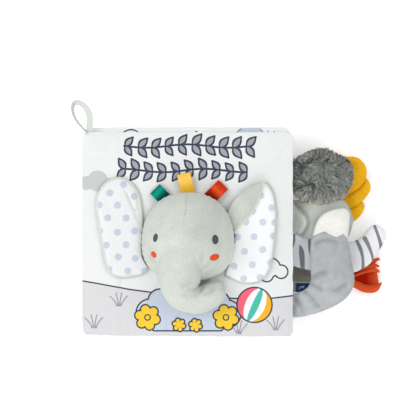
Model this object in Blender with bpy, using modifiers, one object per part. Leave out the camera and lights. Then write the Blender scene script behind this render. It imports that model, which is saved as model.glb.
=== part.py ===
"""A crinkle cloth book for a baby, lying shut on its back cover.

Units are metres. +Z is up, +Y points to the top of the pages and +X to their fore edge.
The origin is the centre of the back cover's flat underside.

Five padded sheets lie in a pile: back cover, three leaves, front cover. Each sheet is two
cloths sewn together at the rim, with batting and a crinkle film between them and a tape
along the spine. A stuffed elephant head with ears, trunk and ribbon tags is sewn on the
front cover, and soft tails stick out between the sheets at the fore edge.
"""

import math

import bmesh
import bpy
from mathutils import Vector

# Cloth and the gap between pieces that touch
GAP = 0.0003
CLOTH_THICKNESS = 0.0006
FILM_THICKNESS = 0.0004
EDGE_THICKNESS = 0.0008

# Sheets of the book
COVER_WIDTH = 0.1984
COVER_HEIGHT = 0.1908
COVER_THICKNESS = 0.0090
LEAF_THICKNESS = 0.0077
LEAF_INSET = 0.0027
LEAF_SHIFT = 0.0042
CORNER_RADIUS = 0.0055
DRAW_IN = 0.0010
SPINE_TAPE_DEPTH = 0.0045
SPINE_TAPE_ROUND = 0.0020
SPINE_TAPE_INSET = 0.0030
FILM_LIFT = 0.0009
BATTING_CLEARANCE = 0.0008
RIM_SHARE = 0.965
PLATEAU_SHARE = 0.60
SHOULDER_POWER = 0.7
SWELL_POWER = 2.6
LIMB_END_SHARE = 0.004
LIMB_SAMPLES = 400
SHEET_STATION_SHARES = (0.0, 0.60, 0.86, 0.965, 1.0)
COVER_STATION_SHARES = (0.0, 0.30, 0.60, 0.80, 0.90, 0.965, 1.0)
INSIDE_STATION_SHARES = (0.0, 0.60, 0.80)

# Elephant head on the front cover
HEAD_X = 0.0006
HEAD_Y = -0.0033
HEAD_HALF_WIDTH = 0.0437
HEAD_HALF_HEIGHT = 0.0423
HEAD_RISE = 0.0440
HEAD_SKIN = 0.0013
HEAD_EGG_SHARE = 0.08
HEAD_FULLNESS = 0.9
HEAD_SEGMENTS = 24

# Embroidered patches: centre as shares of the head's half width and half height, size, tilt in degrees
PATCH_LIFT = 0.0004
PATCH_THICKNESS = 0.0008
PATCH_RIM_SHARE = 0.4
LEFT_EYE = {"place_shares": (-0.707, -0.014), "width": 0.0040, "height": 0.0077, "tilt": 8.0}
RIGHT_EYE = {"place_shares": (0.586, -0.052), "width": 0.0057, "height": 0.0085, "tilt": 0.0}
LEFT_CHEEK = {"place_shares": (-0.741, -0.385), "width": 0.0047, "height": 0.0062, "tilt": 10.0}
RIGHT_CHEEK = {"place_shares": (0.565, -0.442), "width": 0.0091, "height": 0.0062, "tilt": 18.0}

# Trunk: x, y and z from the head's centre as shares of its half width, half height and rise
TRUNK_RADIUS = 0.0193
TRUNK_PIVOT_DROP_SHARE = 0.26
TRUNK_PIVOT_RISE_SHARE = 0.955
TRUNK_ROUTE_SHARES = (
    (-0.151, -0.040, 0.395),
    (-0.153, -0.333, 0.543),
    (-0.174, -0.667, 0.543),
    (-0.174, -0.955, 0.475),
    (-0.100, -1.234, 0.390),
    (0.190, -1.388, 0.305),
    (0.490, -1.277, 0.275),
    (0.741, -1.069, 0.265),
)
TRUNK_RADIUS_SHARES = (0.83, 0.96, 1.00, 0.974, 0.84, 0.663, 0.585, 0.44)

# Ears: outlines run anticlockwise from the right as shares of each ear's box
EAR_BACK_THICKNESS = 0.0034
EAR_FRONT_THICKNESS = 0.0022
EAR_BORDER = 0.0019
EAR_AXIS_CLEARANCE = 0.0005
LEFT_EAR_WIDTH = 0.0423
LEFT_EAR_HEIGHT = 0.0945
LEFT_EAR_HEAD_GAP = 0.0006
LEFT_EAR_LOW_SIDE = -0.0418
LEFT_EAR_OUTLINE_SHARES = (
    (0.984, 0.460), (0.984, 0.660), (0.969, 0.790), (0.889, 0.885), (0.711, 0.965),
    (0.500, 1.000), (0.244, 0.945), (0.078, 0.860), (0.000, 0.766), (0.033, 0.647),
    (0.067, 0.527), (0.100, 0.378), (0.167, 0.229), (0.253, 0.085), (0.356, 0.025),
    (0.622, 0.000), (0.844, 0.015), (0.967, 0.070), (0.984, 0.160), (0.984, 0.300),
)
RIGHT_EAR_WIDTH = 0.0494
RIGHT_EAR_HEIGHT = 0.0952
RIGHT_EAR_HEAD_LAP = 0.0109
RIGHT_EAR_LOW_SIDE = -0.0468
RIGHT_EAR_OUTLINE_SHARES = (
    (0.996, 0.590), (0.996, 0.720), (0.990, 0.846), (0.914, 0.940), (0.780, 1.000),
    (0.610, 0.985), (0.470, 0.950), (0.400, 0.832), (0.352, 0.724), (0.323, 0.625),
    (0.290, 0.492), (0.275, 0.427), (0.240, 0.290), (0.165, 0.151), (0.140, 0.092),
    (0.190, 0.042), (0.457, 0.000), (0.648, 0.013), (0.770, 0.076), (0.857, 0.212),
    (0.930, 0.400),
)
RIGHT_EAR_FRONT_SHARES = (
    (0.958, 0.546), (0.958, 0.724), (0.943, 0.842), (0.900, 0.905), (0.830, 0.930),
    (0.760, 0.872), (0.670, 0.763), (0.505, 0.625), (0.340, 0.487), (0.320, 0.408),
    (0.290, 0.270), (0.215, 0.151), (0.200, 0.092), (0.240, 0.057), (0.457, 0.023),
    (0.629, 0.036), (0.733, 0.092), (0.815, 0.220), (0.891, 0.403),
)
RIGHT_EAR_AXIS_SHARES = ((0.333, 0.724), (0.114, 0.072))
EAR_FOLD_HALF_WIDTH = 0.0090
EAR_FOLD_HALF_HEIGHT = 0.0035
EAR_FOLD_SINK = 0.0010
EAR_FOLD_ROUTE_SHARES = (
    (0.620, 0.940), (0.475, 0.832), (0.360, 0.714), (0.320, 0.600), (0.330, 0.510),
)
EAR_FOLD_WIDTH_SHARES = (0.50, 0.95, 1.0, 0.65, 0.30)

# Ribbon tags on the crown of the head: place on its outline, direction and length
TAG_WIDTH = 0.0128
TAG_THICKNESS = 0.0006
TAG_HEIGHT = 0.0016
TAG_ROOT_GAP = 0.0009
TAG_LIFT = 0.0016
TAG_BEND_STEPS = 6
TAGS = {
    "green_tag": {"place": 120.9, "turn": 134.6, "length": 0.0120},
    "yellow_tag": {"place": 90.4, "turn": 102.7, "length": 0.0172},
    "red_tag": {"place": 60.0, "turn": 44.6, "length": 0.0154},
}

# Hanging loop at the spine's top corner: route as shares of the loop's width and height
LOOP_WIDTH = 0.0200
LOOP_HEIGHT = 0.0310
LOOP_ROOT_X = -0.0920
LOOP_ROOT_Y = 0.0951
LOOP_RIBBON_WIDTH = 0.0056
LOOP_RIBBON_THICKNESS = 0.0010
LOOP_STEPS = 36
LOOP_ROUTE_SHARES = (
    (0.00, 0.02), (0.14, 0.22), (0.17, 0.44), (0.10, 0.68), (-0.26, 0.93),
    (-0.62, 0.99), (-0.83, 0.86), (-0.82, 0.62), (-0.62, 0.35), (-0.20, 0.07),
)
LOOP_TWIST_SHARES = (1.0, 0.45, 0.0, 0.1, 0.45, 0.7, 0.9, 1.0, 1.0, 1.0)

# Tails at the fore edge, all rooted at the edge of their leaf
TAIL_ROOT_RADIUS = 0.0080
TAIL_LEVEL_RUN = 0.0220
TAIL_ROOT_SHARE = 0.15
TUFT_BASE_WIDTH = 0.0583
TUFT_BASE_HEIGHT = 0.0385
TUFT_BASE_LOW_SIDE = -0.0052
TUFT_BASE_REST_Z = 0.0262
TUFT_BASE_HALF_THICKNESS = 0.0054
TUFT_FLOOR_Z = 0.0206
TUFT_PIVOT_SHARE = 0.415
TUFT_BASE_SHARES = (
    (1.000, 0.415), (0.968, 0.683), (0.871, 0.878), (0.710, 0.976), (0.500, 1.000),
    (0.277, 0.976), (0.116, 0.878), (0.035, 0.683), (0.000, 0.415), (0.035, 0.195),
    (0.130, 0.060), (0.325, 0.012), (0.500, 0.000), (0.695, 0.000), (0.871, 0.024),
    (0.968, 0.170),
)
FUR_WIDTH = 0.0564
FUR_HEIGHT = 0.0512
FUR_LEFT_SIDE = 0.1010
FUR_LOW_SIDE = 0.0287
FUR_REST_Z = 0.0275
FUR_HALF_THICKNESS = 0.0066
FUR_SHARES = (
    (1.000, 0.495), (0.975, 0.660), (0.917, 0.780), (0.833, 0.870), (0.667, 0.963),
    (0.450, 1.000), (0.233, 0.954), (0.083, 0.862), (0.008, 0.734), (0.000, 0.514),
    (0.000, 0.294), (0.033, 0.128), (0.150, 0.037), (0.417, 0.000), (0.683, 0.028),
    (0.817, 0.100), (0.917, 0.239), (0.975, 0.367),
)
SCALLOP_WIDTH = 0.0755
SCALLOP_HEIGHT = 0.0620
SCALLOP_LOW_SIDE = 0.0099
SCALLOP_REST_Z = 0.0082
SCALLOP_HALF_THICKNESS = 0.0060
SCALLOP_PIVOT_SHARE = 0.59
SCALLOP_SHARES = (
    (1.000, 0.545), (0.988, 0.652), (0.944, 0.705), (0.944, 0.818), (0.900, 0.932),
    (0.813, 0.997), (0.700, 1.000), (0.551, 0.985), (0.364, 0.924), (0.177, 0.773),
    (0.040, 0.682), (0.000, 0.590), (0.040, 0.500), (0.177, 0.348), (0.389, 0.167),
    (0.589, 0.045), (0.738, 0.000), (0.825, 0.076), (0.913, 0.167), (0.929, 0.258),
    (0.906, 0.295), (0.963, 0.379), (0.994, 0.470),
)
FLAME_WIDTH = 0.0848
FLAME_HEIGHT = 0.0395
FLAME_LOW_SIDE = -0.0541
FLAME_REST_Z = 0.0060
FLAME_HALF_THICKNESS = 0.0036
FLAME_PIVOT_SHARE = 0.857
FLAME_STATION_SHARES = (0.0, 0.35, 0.60, 0.78, 0.90, 1.0)
FLAME_SHARES = (
    (0.978, 0.607), (0.889, 0.679), (0.978, 0.774), (0.856, 0.833), (0.712, 0.810),
    (0.490, 0.880), (0.235, 0.952), (0.069, 1.000), (0.000, 0.857), (0.069, 0.714),
    (0.235, 0.619), (0.490, 0.429), (0.678, 0.262), (0.745, 0.095), (0.873, 0.000),
    (0.856, 0.167), (1.000, 0.214), (0.889, 0.357), (0.989, 0.464), (0.889, 0.524),
)
TAIL_STATION_SHARES = (0.0, 0.40, 0.70, 0.90, 1.0)
EAR_STATION_SHARES = (0.0, 0.45, 0.75, 0.93, 1.0)

STRIPED_REACH = 0.0880
STRIPED_RISE = 0.0180
STRIPED_HALF_WIDTH = 0.0155
STRIPED_HALF_HEIGHT = 0.0026
STRIPED_ROOT_Y = -0.0193
STRIPED_REST_Z = 0.0171
STRIPED_ROUTE_SHARES = (
    (0.00, 0.00), (0.10, -0.02), (0.24, -0.08), (0.45, -0.20), (0.65, -0.25),
    (0.79, -0.05), (0.90, 0.38), (1.00, 0.98),
)
STRIPED_WIDTH_SHARES = (0.52, 0.75, 1.0, 0.98, 0.92, 0.84, 0.70, 0.48)

GREY_WIDTH = 0.0583
GREY_HEIGHT = 0.1043
GREY_LOW_SIDE = -0.0804
GREY_HALF_WIDTH = 0.0207
GREY_HALF_HEIGHT = 0.0068
GREY_TIP_Z = 0.0412
GREY_ROUTE_SHARES = (
    (0.000, 0.118), (0.120, 0.118), (0.300, 0.140), (0.500, 0.216), (0.620, 0.351),
    (0.637, 0.514), (0.653, 0.685), (0.710, 0.838), (0.805, 0.985),
)
GREY_WIDTH_SHARES = (0.55, 0.58, 0.68, 0.88, 0.98, 1.00, 0.92, 0.72, 0.38)
GREY_HEIGHT_SHARES = (0.12, 0.20, 0.42, 0.80, 1.00, 1.00, 0.92, 0.75, 0.45)
GREY_SEAM_Y = -0.0022
GREY_ZIGZAG_HEIGHT = 0.0050
GREY_ZIGZAGS = 4

STRAP_LENGTH = 0.0210
STRAP_WIDTH = 0.0090
STRAP_Y = -0.0420
STRAP_THICKNESS = 0.0014
LABEL_LENGTH = 0.0170
LABEL_WIDTH = 0.0078
LABEL_Y = -0.0514
LABEL_THICKNESS = 0.0008
FLAT_PIECE_REST_Z = 0.0014
FLAT_PIECE_RUN = 0.0080

# Places that follow from the sizes above
SPINE_X = -COVER_WIDTH / 2
FORE_X = COVER_WIDTH / 2
LEAF_FORE_X = FORE_X - LEAF_INSET
TAIL_ROOT_X = LEAF_FORE_X + GAP
LEFT_EAR_RIGHT_SIDE = HEAD_X - HEAD_HALF_WIDTH - LEFT_EAR_HEAD_GAP
RIGHT_EAR_LEFT_SIDE = HEAD_X + HEAD_HALF_WIDTH - RIGHT_EAR_HEAD_LAP
SHEETS = {
    "back_cover": {"thickness": COVER_THICKNESS, "fore": FORE_X - LEAF_INSET, "shift": 0.0},
    "leaf_3": {"thickness": LEAF_THICKNESS, "fore": LEAF_FORE_X, "shift": -LEAF_SHIFT / 4},
    "leaf_2": {"thickness": LEAF_THICKNESS, "fore": LEAF_FORE_X, "shift": LEAF_SHIFT / 4},
    "leaf_1": {"thickness": LEAF_THICKNESS, "fore": LEAF_FORE_X, "shift": LEAF_SHIFT},
    "front_cover": {"thickness": COVER_THICKNESS, "fore": FORE_X, "shift": 0.0},
}
level = 0.0
for sheet in SHEETS.values():
    sheet["low"] = level
    sheet["middle"] = level + sheet["thickness"] / 2
    sheet["high"] = level + sheet["thickness"]
    level = sheet["high"] + GAP
COVER_TOP_Z = SHEETS["front_cover"]["high"]
HEAD_BASE_Z = COVER_TOP_Z + GAP

# Colours
WHITE = (0.86, 0.88, 0.88)
FILLING = (0.80, 0.80, 0.78)
FILM = (0.75, 0.78, 0.80)
VELOUR = (0.56, 0.60, 0.55)
SATIN = (0.90, 0.91, 0.93)
INK = (0.08, 0.10, 0.11)
ORANGE = (0.85, 0.13, 0.02)
RIBBON = (0.70, 0.76, 0.69)


def clear_scene():
    """Remove whatever the file holds."""
    for thing in list(bpy.data.objects):
        bpy.data.objects.remove(thing, do_unlink=True)
    for group in list(bpy.data.collections):
        bpy.data.collections.remove(group)


def material(name, colour, roughness):
    """A Principled material of one colour."""
    finish = bpy.data.materials.new(name)
    finish.use_nodes = True
    shader = finish.node_tree.nodes["Principled BSDF"]
    shader.inputs["Base Color"].default_value = (*colour, 1.0)
    shader.inputs["Roughness"].default_value = roughness
    shader.inputs["Metallic"].default_value = 0.0
    return finish


def add_body(name, pivot, parent=None):
    """An empty on the joint's axis that carries the pieces of one moving body."""
    empty = bpy.data.objects.new(name + "_axis", None)
    parts.objects.link(empty)
    pivot = Vector(pivot)
    empty["pivot"] = pivot
    if parent is not None:
        empty.parent = parent
        empty.location = pivot - Vector(parent["pivot"])
    else:
        empty.location = pivot
    return empty


def add_piece(name, mesh, body, colour, roughness=0.85):
    """Put a mesh, made in world places, on its body."""
    pivot = Vector(body["pivot"])
    for vertex in mesh.vertices:
        vertex.co -= pivot
    mesh.shade_smooth()
    mesh.set_sharp_from_angle(angle=math.radians(50))
    mesh.materials.clear()
    mesh.materials.append(material(name, colour, roughness))
    piece = bpy.data.objects.new(name, mesh)
    piece.parent = body
    parts.objects.link(piece)
    return piece


def add_cutter(name, mesh):
    """Put a mesh, made in world places, with the cutters."""
    cutter = bpy.data.objects.new(name, mesh)
    cutter.hide_render = True
    cutter.display_type = "WIRE"
    cutters.objects.link(cutter)
    return cutter


def cut(piece, cutter, operation="DIFFERENCE"):
    """Cut a piece with a cutter, or join it to one."""
    modifier = piece.modifiers.new(cutter.name, "BOOLEAN")
    modifier.object = cutter
    modifier.operation = operation
    modifier.solver = "EXACT"


def finish_mesh(name, cage):
    """Turn a bmesh into a mesh whose faces point out."""
    bmesh.ops.recalc_face_normals(cage, faces=cage.faces[:])
    mesh = bpy.data.meshes.new(name)
    cage.to_mesh(mesh)
    cage.free()
    return mesh


def smooth_step(share):
    """Ease from 0 to 1."""
    share = min(1.0, max(0.0, share))
    return share * share * (3 - 2 * share)


def along(points, share, closed=False):
    """The place at a share of the way along a smooth curve through the points."""
    spans = len(points) if closed else len(points) - 1
    step = share * spans
    index = min(int(step), spans - 1)
    t = step - index

    def point(offset):
        place = index + offset
        if closed:
            return points[place % len(points)]
        return points[min(max(place, 0), len(points) - 1)]

    values = []
    for before, start, end, after in zip(point(-1), point(0), point(1), point(2)):
        slope_start = (end - before) / 2
        slope_end = (after - start) / 2
        rise = end - start
        values.append(
            start + slope_start * t
            + (3 * rise - 2 * slope_start - slope_end) * t ** 2
            + (slope_start + slope_end - 2 * rise) * t ** 3
        )
    return values


def square_slab(stations):
    """A flat slab of square cells, with its lines at the given shares from middle to edge.

    Returns the cage and the set of its upper vertices. Both sides lie at the same height
    until their places are worked out.
    """
    steps = len(stations) - 1
    cage = bmesh.new()
    bmesh.ops.create_grid(cage, x_segments=2 * steps, y_segments=2 * steps, size=1.0)
    for vertex in cage.verts:
        for axis in (0, 1):
            step = round(vertex.co[axis] * steps)
            vertex.co[axis] = math.copysign(stations[abs(step)], step)
    grown = bmesh.ops.extrude_face_region(cage, geom=cage.faces[:], use_keep_orig=True)
    upper = {item for item in grown["geom"] if isinstance(item, bmesh.types.BMVert)}
    return cage, upper


def pad(name, outline, top, bottom, stations):
    """A closed pad: an outline filled with square cells between a top and a bottom."""
    cage, upper = square_slab(stations)
    for vertex in cage.verts:
        x, y, reach = outline(vertex.co.x, vertex.co.y)
        height = top if vertex in upper else bottom
        vertex.co = (x, y, height(x, y, reach))
    return finish_mesh(name, cage)


def sheet_outline(left, right, low, high):
    """Rounded rectangle whose top and bottom draw in a little between its corners."""
    half_width = (right - left) / 2
    half_height = (high - low) / 2
    middle_x = (left + right) / 2
    middle_y = (low + high) / 2

    def place(u, v):
        extent = max(abs(u), abs(v), 1e-9)
        side_u, side_v = u / extent, v / extent
        x, y = side_u * half_width, side_v * half_height
        over_x = abs(x) - half_width + CORNER_RADIUS
        over_y = abs(y) - half_height + CORNER_RADIUS
        if over_x > 0 and over_y > 0:
            pull = CORNER_RADIUS / math.hypot(over_x, over_y)
            x = math.copysign(half_width - CORNER_RADIUS + over_x * pull, x)
            y = math.copysign(half_height - CORNER_RADIUS + over_y * pull, y)
        y -= DRAW_IN * side_v * (1 - side_u ** 2)
        return middle_x + extent * x, middle_y + extent * y, min(1.0, extent)

    return place


def star_outline(shares, left, low, width, height, inset=0.0):
    """A closed outline seen from its middle, given as shares of its box."""
    points = [(left + width * x, low + height * y) for x, y in shares]
    middle_x = sum(x for x, y in points) / len(points)
    middle_y = sum(y for x, y in points) / len(points)

    def place(u, v):
        extent = max(abs(u), abs(v), 1e-9)
        side_u, side_v = u / extent, v / extent
        if side_u >= abs(side_v):
            turn = side_v / 8
        elif side_v > abs(side_u):
            turn = 0.25 - side_u / 8
        elif -side_u >= abs(side_v):
            turn = 0.5 - side_v / 8
        else:
            turn = 0.75 + side_u / 8
        edge_x, edge_y = along(points, turn % 1.0, closed=True)
        away = math.hypot(edge_x - middle_x, edge_y - middle_y)
        spread = extent * (1 - inset / away)
        x = middle_x + spread * (edge_x - middle_x)
        y = middle_y + spread * (edge_y - middle_y)
        return x, y, min(1.0, extent)

    return place


def crown(reach):
    """Height share of a sewn sheet: flat rim, rounded shoulder, flat middle."""
    if reach >= RIM_SHARE:
        return 0.0
    slope = max(0.0, (reach - PLATEAU_SHARE) / (RIM_SHARE - PLATEAU_SHARE))
    return (1 - slope ** 3) ** SHOULDER_POWER


def swell(reach):
    """Height share of a stuffed piece, round at its edge."""
    return math.sqrt(max(0.0, 1 - reach ** SWELL_POWER))


def loft(name, rings, sides):
    """A closed tube through elliptic sections.

    Each ring holds its centre, half width across the way and half height.
    """
    cage = bmesh.new()
    loops = []
    for index, (centre, half_width, half_height) in enumerate(rings):
        before = rings[max(index - 1, 0)][0]
        after = rings[min(index + 1, len(rings) - 1)][0]
        ahead = (after - before).normalized()
        across = ahead.cross(Vector((0, 0, 1))).normalized()
        up = across.cross(ahead).normalized()
        loop = []
        for side in range(sides):
            angle = math.tau * side / sides
            offset = across * half_width * math.cos(angle) + up * half_height * math.sin(angle)
            loop.append(cage.verts.new(centre + offset))
        loops.append(loop)
    for first, second in zip(loops, loops[1:]):
        for side in range(sides):
            after = (side + 1) % sides
            cage.faces.new((first[side], first[after], second[after], second[side]))
    cage.faces.new(loops[0])
    cage.faces.new(loops[-1])
    return finish_mesh(name, cage)


def limb_rings(route, half_widths, half_heights, steps, round_start=True):
    """Sections of a stuffed limb along a smooth route, with rounded ends."""
    widths = [(value,) for value in half_widths]
    heights = [(value,) for value in half_heights]
    samples = [Vector(along(route, step / LIMB_SAMPLES)) for step in range(LIMB_SAMPLES + 1)]
    travelled = [0.0]
    for first, second in zip(samples, samples[1:]):
        travelled.append(travelled[-1] + (second - first).length)
    length = travelled[-1]
    rings = []
    for step in range(steps + 1):
        if round_start:
            ease = (1 - math.cos(math.pi * step / steps)) / 2
            wanted = length * (LIMB_END_SHARE + (1 - 2 * LIMB_END_SHARE) * ease)
        else:
            wanted = length * (1 - LIMB_END_SHARE) * math.sin(math.pi / 2 * step / steps)
        index = next(i for i in range(1, LIMB_SAMPLES + 1) if i == LIMB_SAMPLES or travelled[i] >= wanted)
        part_way = (wanted - travelled[index - 1]) / (travelled[index] - travelled[index - 1])
        share = (index - 1 + part_way) / LIMB_SAMPLES
        half_width = along(widths, share)[0]
        half_height = along(heights, share)[0]
        rounding = 1.0
        left = length - wanted
        if left < half_width:
            rounding = math.sqrt(1 - (1 - left / half_width) ** 2)
        if round_start and wanted < half_width:
            rounding = math.sqrt(1 - (1 - wanted / half_width) ** 2)
        rings.append((Vector(along(route, share)), half_width * rounding, half_height * rounding))
    return rings


def flat_solid(name, points, low, high):
    """A flat outline in the XY plane, drawn as a filled curve and made a mesh."""
    curve = bpy.data.curves.new(name, "CURVE")
    curve.dimensions = "2D"
    curve.fill_mode = "BOTH"
    curve.extrude = (high - low) / 2
    spline = curve.splines.new("POLY")
    spline.points.add(len(points) - 1)
    for place, (x, y) in zip(spline.points, points):
        place.co = (x, y, 0, 1)
    spline.use_cyclic_u = True
    drawn = bpy.data.objects.new(name, curve)
    cutters.objects.link(drawn)
    bpy.context.view_layer.update()
    solid = bpy.data.meshes.new_from_object(drawn.evaluated_get(bpy.context.evaluated_depsgraph_get()))
    bpy.data.objects.remove(drawn, do_unlink=True)
    cage = bmesh.new()
    cage.from_mesh(solid)
    bmesh.ops.remove_doubles(cage, verts=cage.verts[:], dist=GAP / 100)
    bmesh.ops.translate(cage, verts=cage.verts[:], vec=(0, 0, (low + high) / 2))
    return finish_mesh(name, cage)


def make_sheet(name, body):
    """Two cloths, batting, crinkle film and spine tape of one sheet."""
    sheet = SHEETS[name]
    left = SPINE_X + SPINE_TAPE_DEPTH + GAP
    half_height = COVER_HEIGHT / 2
    low, high = sheet["shift"] - half_height, sheet["shift"] + half_height
    outline = sheet_outline(left, sheet["fore"], low, high)
    middle = sheet["middle"]
    seam = GAP / 2
    rise = sheet["thickness"] / 2 - seam - CLOTH_THICKNESS

    def upper_inside(x, y, reach):
        return middle + seam + rise * crown(reach)

    def upper_outside(x, y, reach):
        return upper_inside(x, y, reach) + CLOTH_THICKNESS

    def lower_inside(x, y, reach):
        return middle - seam - rise * crown(reach)

    def lower_outside(x, y, reach):
        return lower_inside(x, y, reach) - CLOTH_THICKNESS

    def film_low(x, y, reach):
        return lower_inside(x, y, reach) + FILM_LIFT

    def film_high(x, y, reach):
        return film_low(x, y, reach) + FILM_THICKNESS

    stations = COVER_STATION_SHARES if name == "front_cover" else SHEET_STATION_SHARES
    upper = pad(name + "_upper_cloth", outline, upper_outside, upper_inside, stations)
    add_piece(name + "_upper_cloth", upper, body, WHITE)
    lower = pad(name + "_lower_cloth", outline, lower_inside, lower_outside, SHEET_STATION_SHARES)
    add_piece(name + "_lower_cloth", lower, body, WHITE)
    batting = pad(
        name + "_batting",
        outline,
        lambda x, y, reach: upper_inside(x, y, reach) - BATTING_CLEARANCE,
        lambda x, y, reach: film_high(x, y, reach) + GAP,
        INSIDE_STATION_SHARES,
    )
    add_piece(name + "_batting", batting, body, FILLING, 0.95)
    film = pad(name + "_crinkle_film", outline, film_high, film_low, INSIDE_STATION_SHARES)
    add_piece(name + "_crinkle_film", film, body, FILM, 0.3)

    cage = bmesh.new()
    bmesh.ops.create_cube(cage, size=1.0)
    length = COVER_HEIGHT - 2 * SPINE_TAPE_INSET
    bmesh.ops.scale(cage, verts=cage.verts[:], vec=(SPINE_TAPE_DEPTH, length, sheet["thickness"]))
    place = (SPINE_X + SPINE_TAPE_DEPTH / 2, sheet["shift"], middle)
    bmesh.ops.translate(cage, verts=cage.verts[:], vec=place)
    tape = add_piece(name + "_spine_tape", finish_mesh(name + "_spine_tape", cage), body, WHITE)
    round_edges(tape, SPINE_TAPE_ROUND, 2)


def round_edges(piece, width, segments):
    """Round a piece's edges."""
    bevel = piece.modifiers.new("rounding", "BEVEL")
    bevel.width = width
    bevel.segments = segments
    bevel.limit_method = "ANGLE"


def head_top(x, y):
    """Height of the head's outside above a place on the cover."""
    b = (y - HEAD_Y) / HEAD_HALF_HEIGHT
    a = (x - HEAD_X) / (HEAD_HALF_WIDTH * (1 - HEAD_EGG_SHARE * b))
    return HEAD_BASE_Z + HEAD_RISE * max(0.0, 1 - a * a - b * b) ** (HEAD_FULLNESS / 2)


def head_cage(offset, closed):
    """Half an egg, made from a sphere, set in or out by an offset."""
    cage = bmesh.new()
    bmesh.ops.create_uvsphere(cage, u_segments=HEAD_SEGMENTS, v_segments=HEAD_SEGMENTS // 2, radius=1.0)
    below = [vertex for vertex in cage.verts if vertex.co.z < -1e-4]
    bmesh.ops.delete(cage, geom=below, context="VERTS")
    if closed:
        rim = [edge for edge in cage.edges if edge.is_boundary]
        bmesh.ops.holes_fill(cage, edges=rim)
    for vertex in cage.verts:
        a, b, c = vertex.co
        vertex.co = (
            HEAD_X + (HEAD_HALF_WIDTH + offset) * a * (1 - HEAD_EGG_SHARE * b),
            HEAD_Y + (HEAD_HALF_HEIGHT + offset) * b,
            HEAD_BASE_Z + (HEAD_RISE + offset) * max(0.0, c) ** HEAD_FULLNESS,
        )
    return cage


def make_head(body):
    """Velour skin, stuffing, eyes and cheeks."""
    skin = add_piece("head_skin", finish_mesh("head_skin", head_cage(0.0, False)), body, VELOUR)
    thickness = skin.modifiers.new("cloth", "SOLIDIFY")
    thickness.thickness = HEAD_SKIN
    thickness.offset = -1.0
    stuffing = finish_mesh("head_stuffing", head_cage(-HEAD_SKIN - 2 * GAP, True))
    add_piece("head_stuffing", stuffing, body, FILLING, 0.95)
    for name, patch, colour in (
        ("left_eye", LEFT_EYE, INK),
        ("right_eye", RIGHT_EYE, INK),
        ("left_cheek", LEFT_CHEEK, ORANGE),
        ("right_cheek", RIGHT_CHEEK, ORANGE),
    ):
        turn = math.radians(patch["tilt"])

        def outline(u, v, patch=patch, turn=turn):
            extent = max(abs(u), abs(v))
            away = max(math.hypot(u, v), 1e-9)
            a = u / away * extent * patch["width"] / 2
            b = v / away * extent * patch["height"] / 2
            share_x, share_y = patch["place_shares"]
            x = HEAD_X + HEAD_HALF_WIDTH * share_x + a * math.cos(turn) - b * math.sin(turn)
            y = HEAD_Y + HEAD_HALF_HEIGHT * share_y + a * math.sin(turn) + b * math.cos(turn)
            return x, y, extent

        def under(x, y, reach):
            return head_top(x, y) + PATCH_LIFT

        def over(x, y, reach):
            fullness = PATCH_RIM_SHARE + (1 - PATCH_RIM_SHARE) * swell(reach)
            return under(x, y, reach) + PATCH_THICKNESS * fullness

        add_piece(name, pad(name, outline, over, under, (0.0, 0.55, 1.0)), body, colour, 0.5)


def make_trunk(body):
    """Stuffed tube that leaves the face and curls up to the right."""
    route = [
        (
            HEAD_X + HEAD_HALF_WIDTH * x,
            HEAD_Y + HEAD_HALF_HEIGHT * y,
            HEAD_BASE_Z + HEAD_RISE * z,
        )
        for x, y, z in TRUNK_ROUTE_SHARES
    ]
    radii = [TRUNK_RADIUS * share for share in TRUNK_RADIUS_SHARES]
    rings = limb_rings(route, radii, radii, 18)
    trunk = add_piece("trunk", loft("trunk", rings, 16), body, VELOUR)
    cut(trunk, add_cutter("head_outside", finish_mesh("head_outside", head_cage(GAP, True))))


def ear_heights(base, thickness):
    """Top and bottom of a flat ear pad that lies on a base."""

    def top(x, y, reach):
        return base + EDGE_THICKNESS + (thickness - EDGE_THICKNESS) * swell(reach)

    def bottom(x, y, reach):
        return base

    return top, bottom


def make_left_ear(body):
    """Velour back and satin front of the ear that lies open."""
    left = LEFT_EAR_RIGHT_SIDE - LEFT_EAR_WIDTH
    box = (left, LEFT_EAR_LOW_SIDE, LEFT_EAR_WIDTH, LEFT_EAR_HEIGHT)
    outline = star_outline(LEFT_EAR_OUTLINE_SHARES, *box)
    top, bottom = ear_heights(HEAD_BASE_Z, EAR_BACK_THICKNESS)
    mesh = pad("left_ear_back", outline, top, bottom, EAR_STATION_SHARES)
    add_piece("left_ear_back", mesh, body, VELOUR)
    inner = star_outline(LEFT_EAR_OUTLINE_SHARES, *box, inset=EAR_BORDER)
    top, bottom = ear_heights(HEAD_BASE_Z + EAR_BACK_THICKNESS + GAP, EAR_FRONT_THICKNESS)
    mesh = pad("left_ear_front", inner, top, bottom, EAR_STATION_SHARES)
    add_piece("left_ear_front", mesh, body, SATIN, 0.4)


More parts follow.
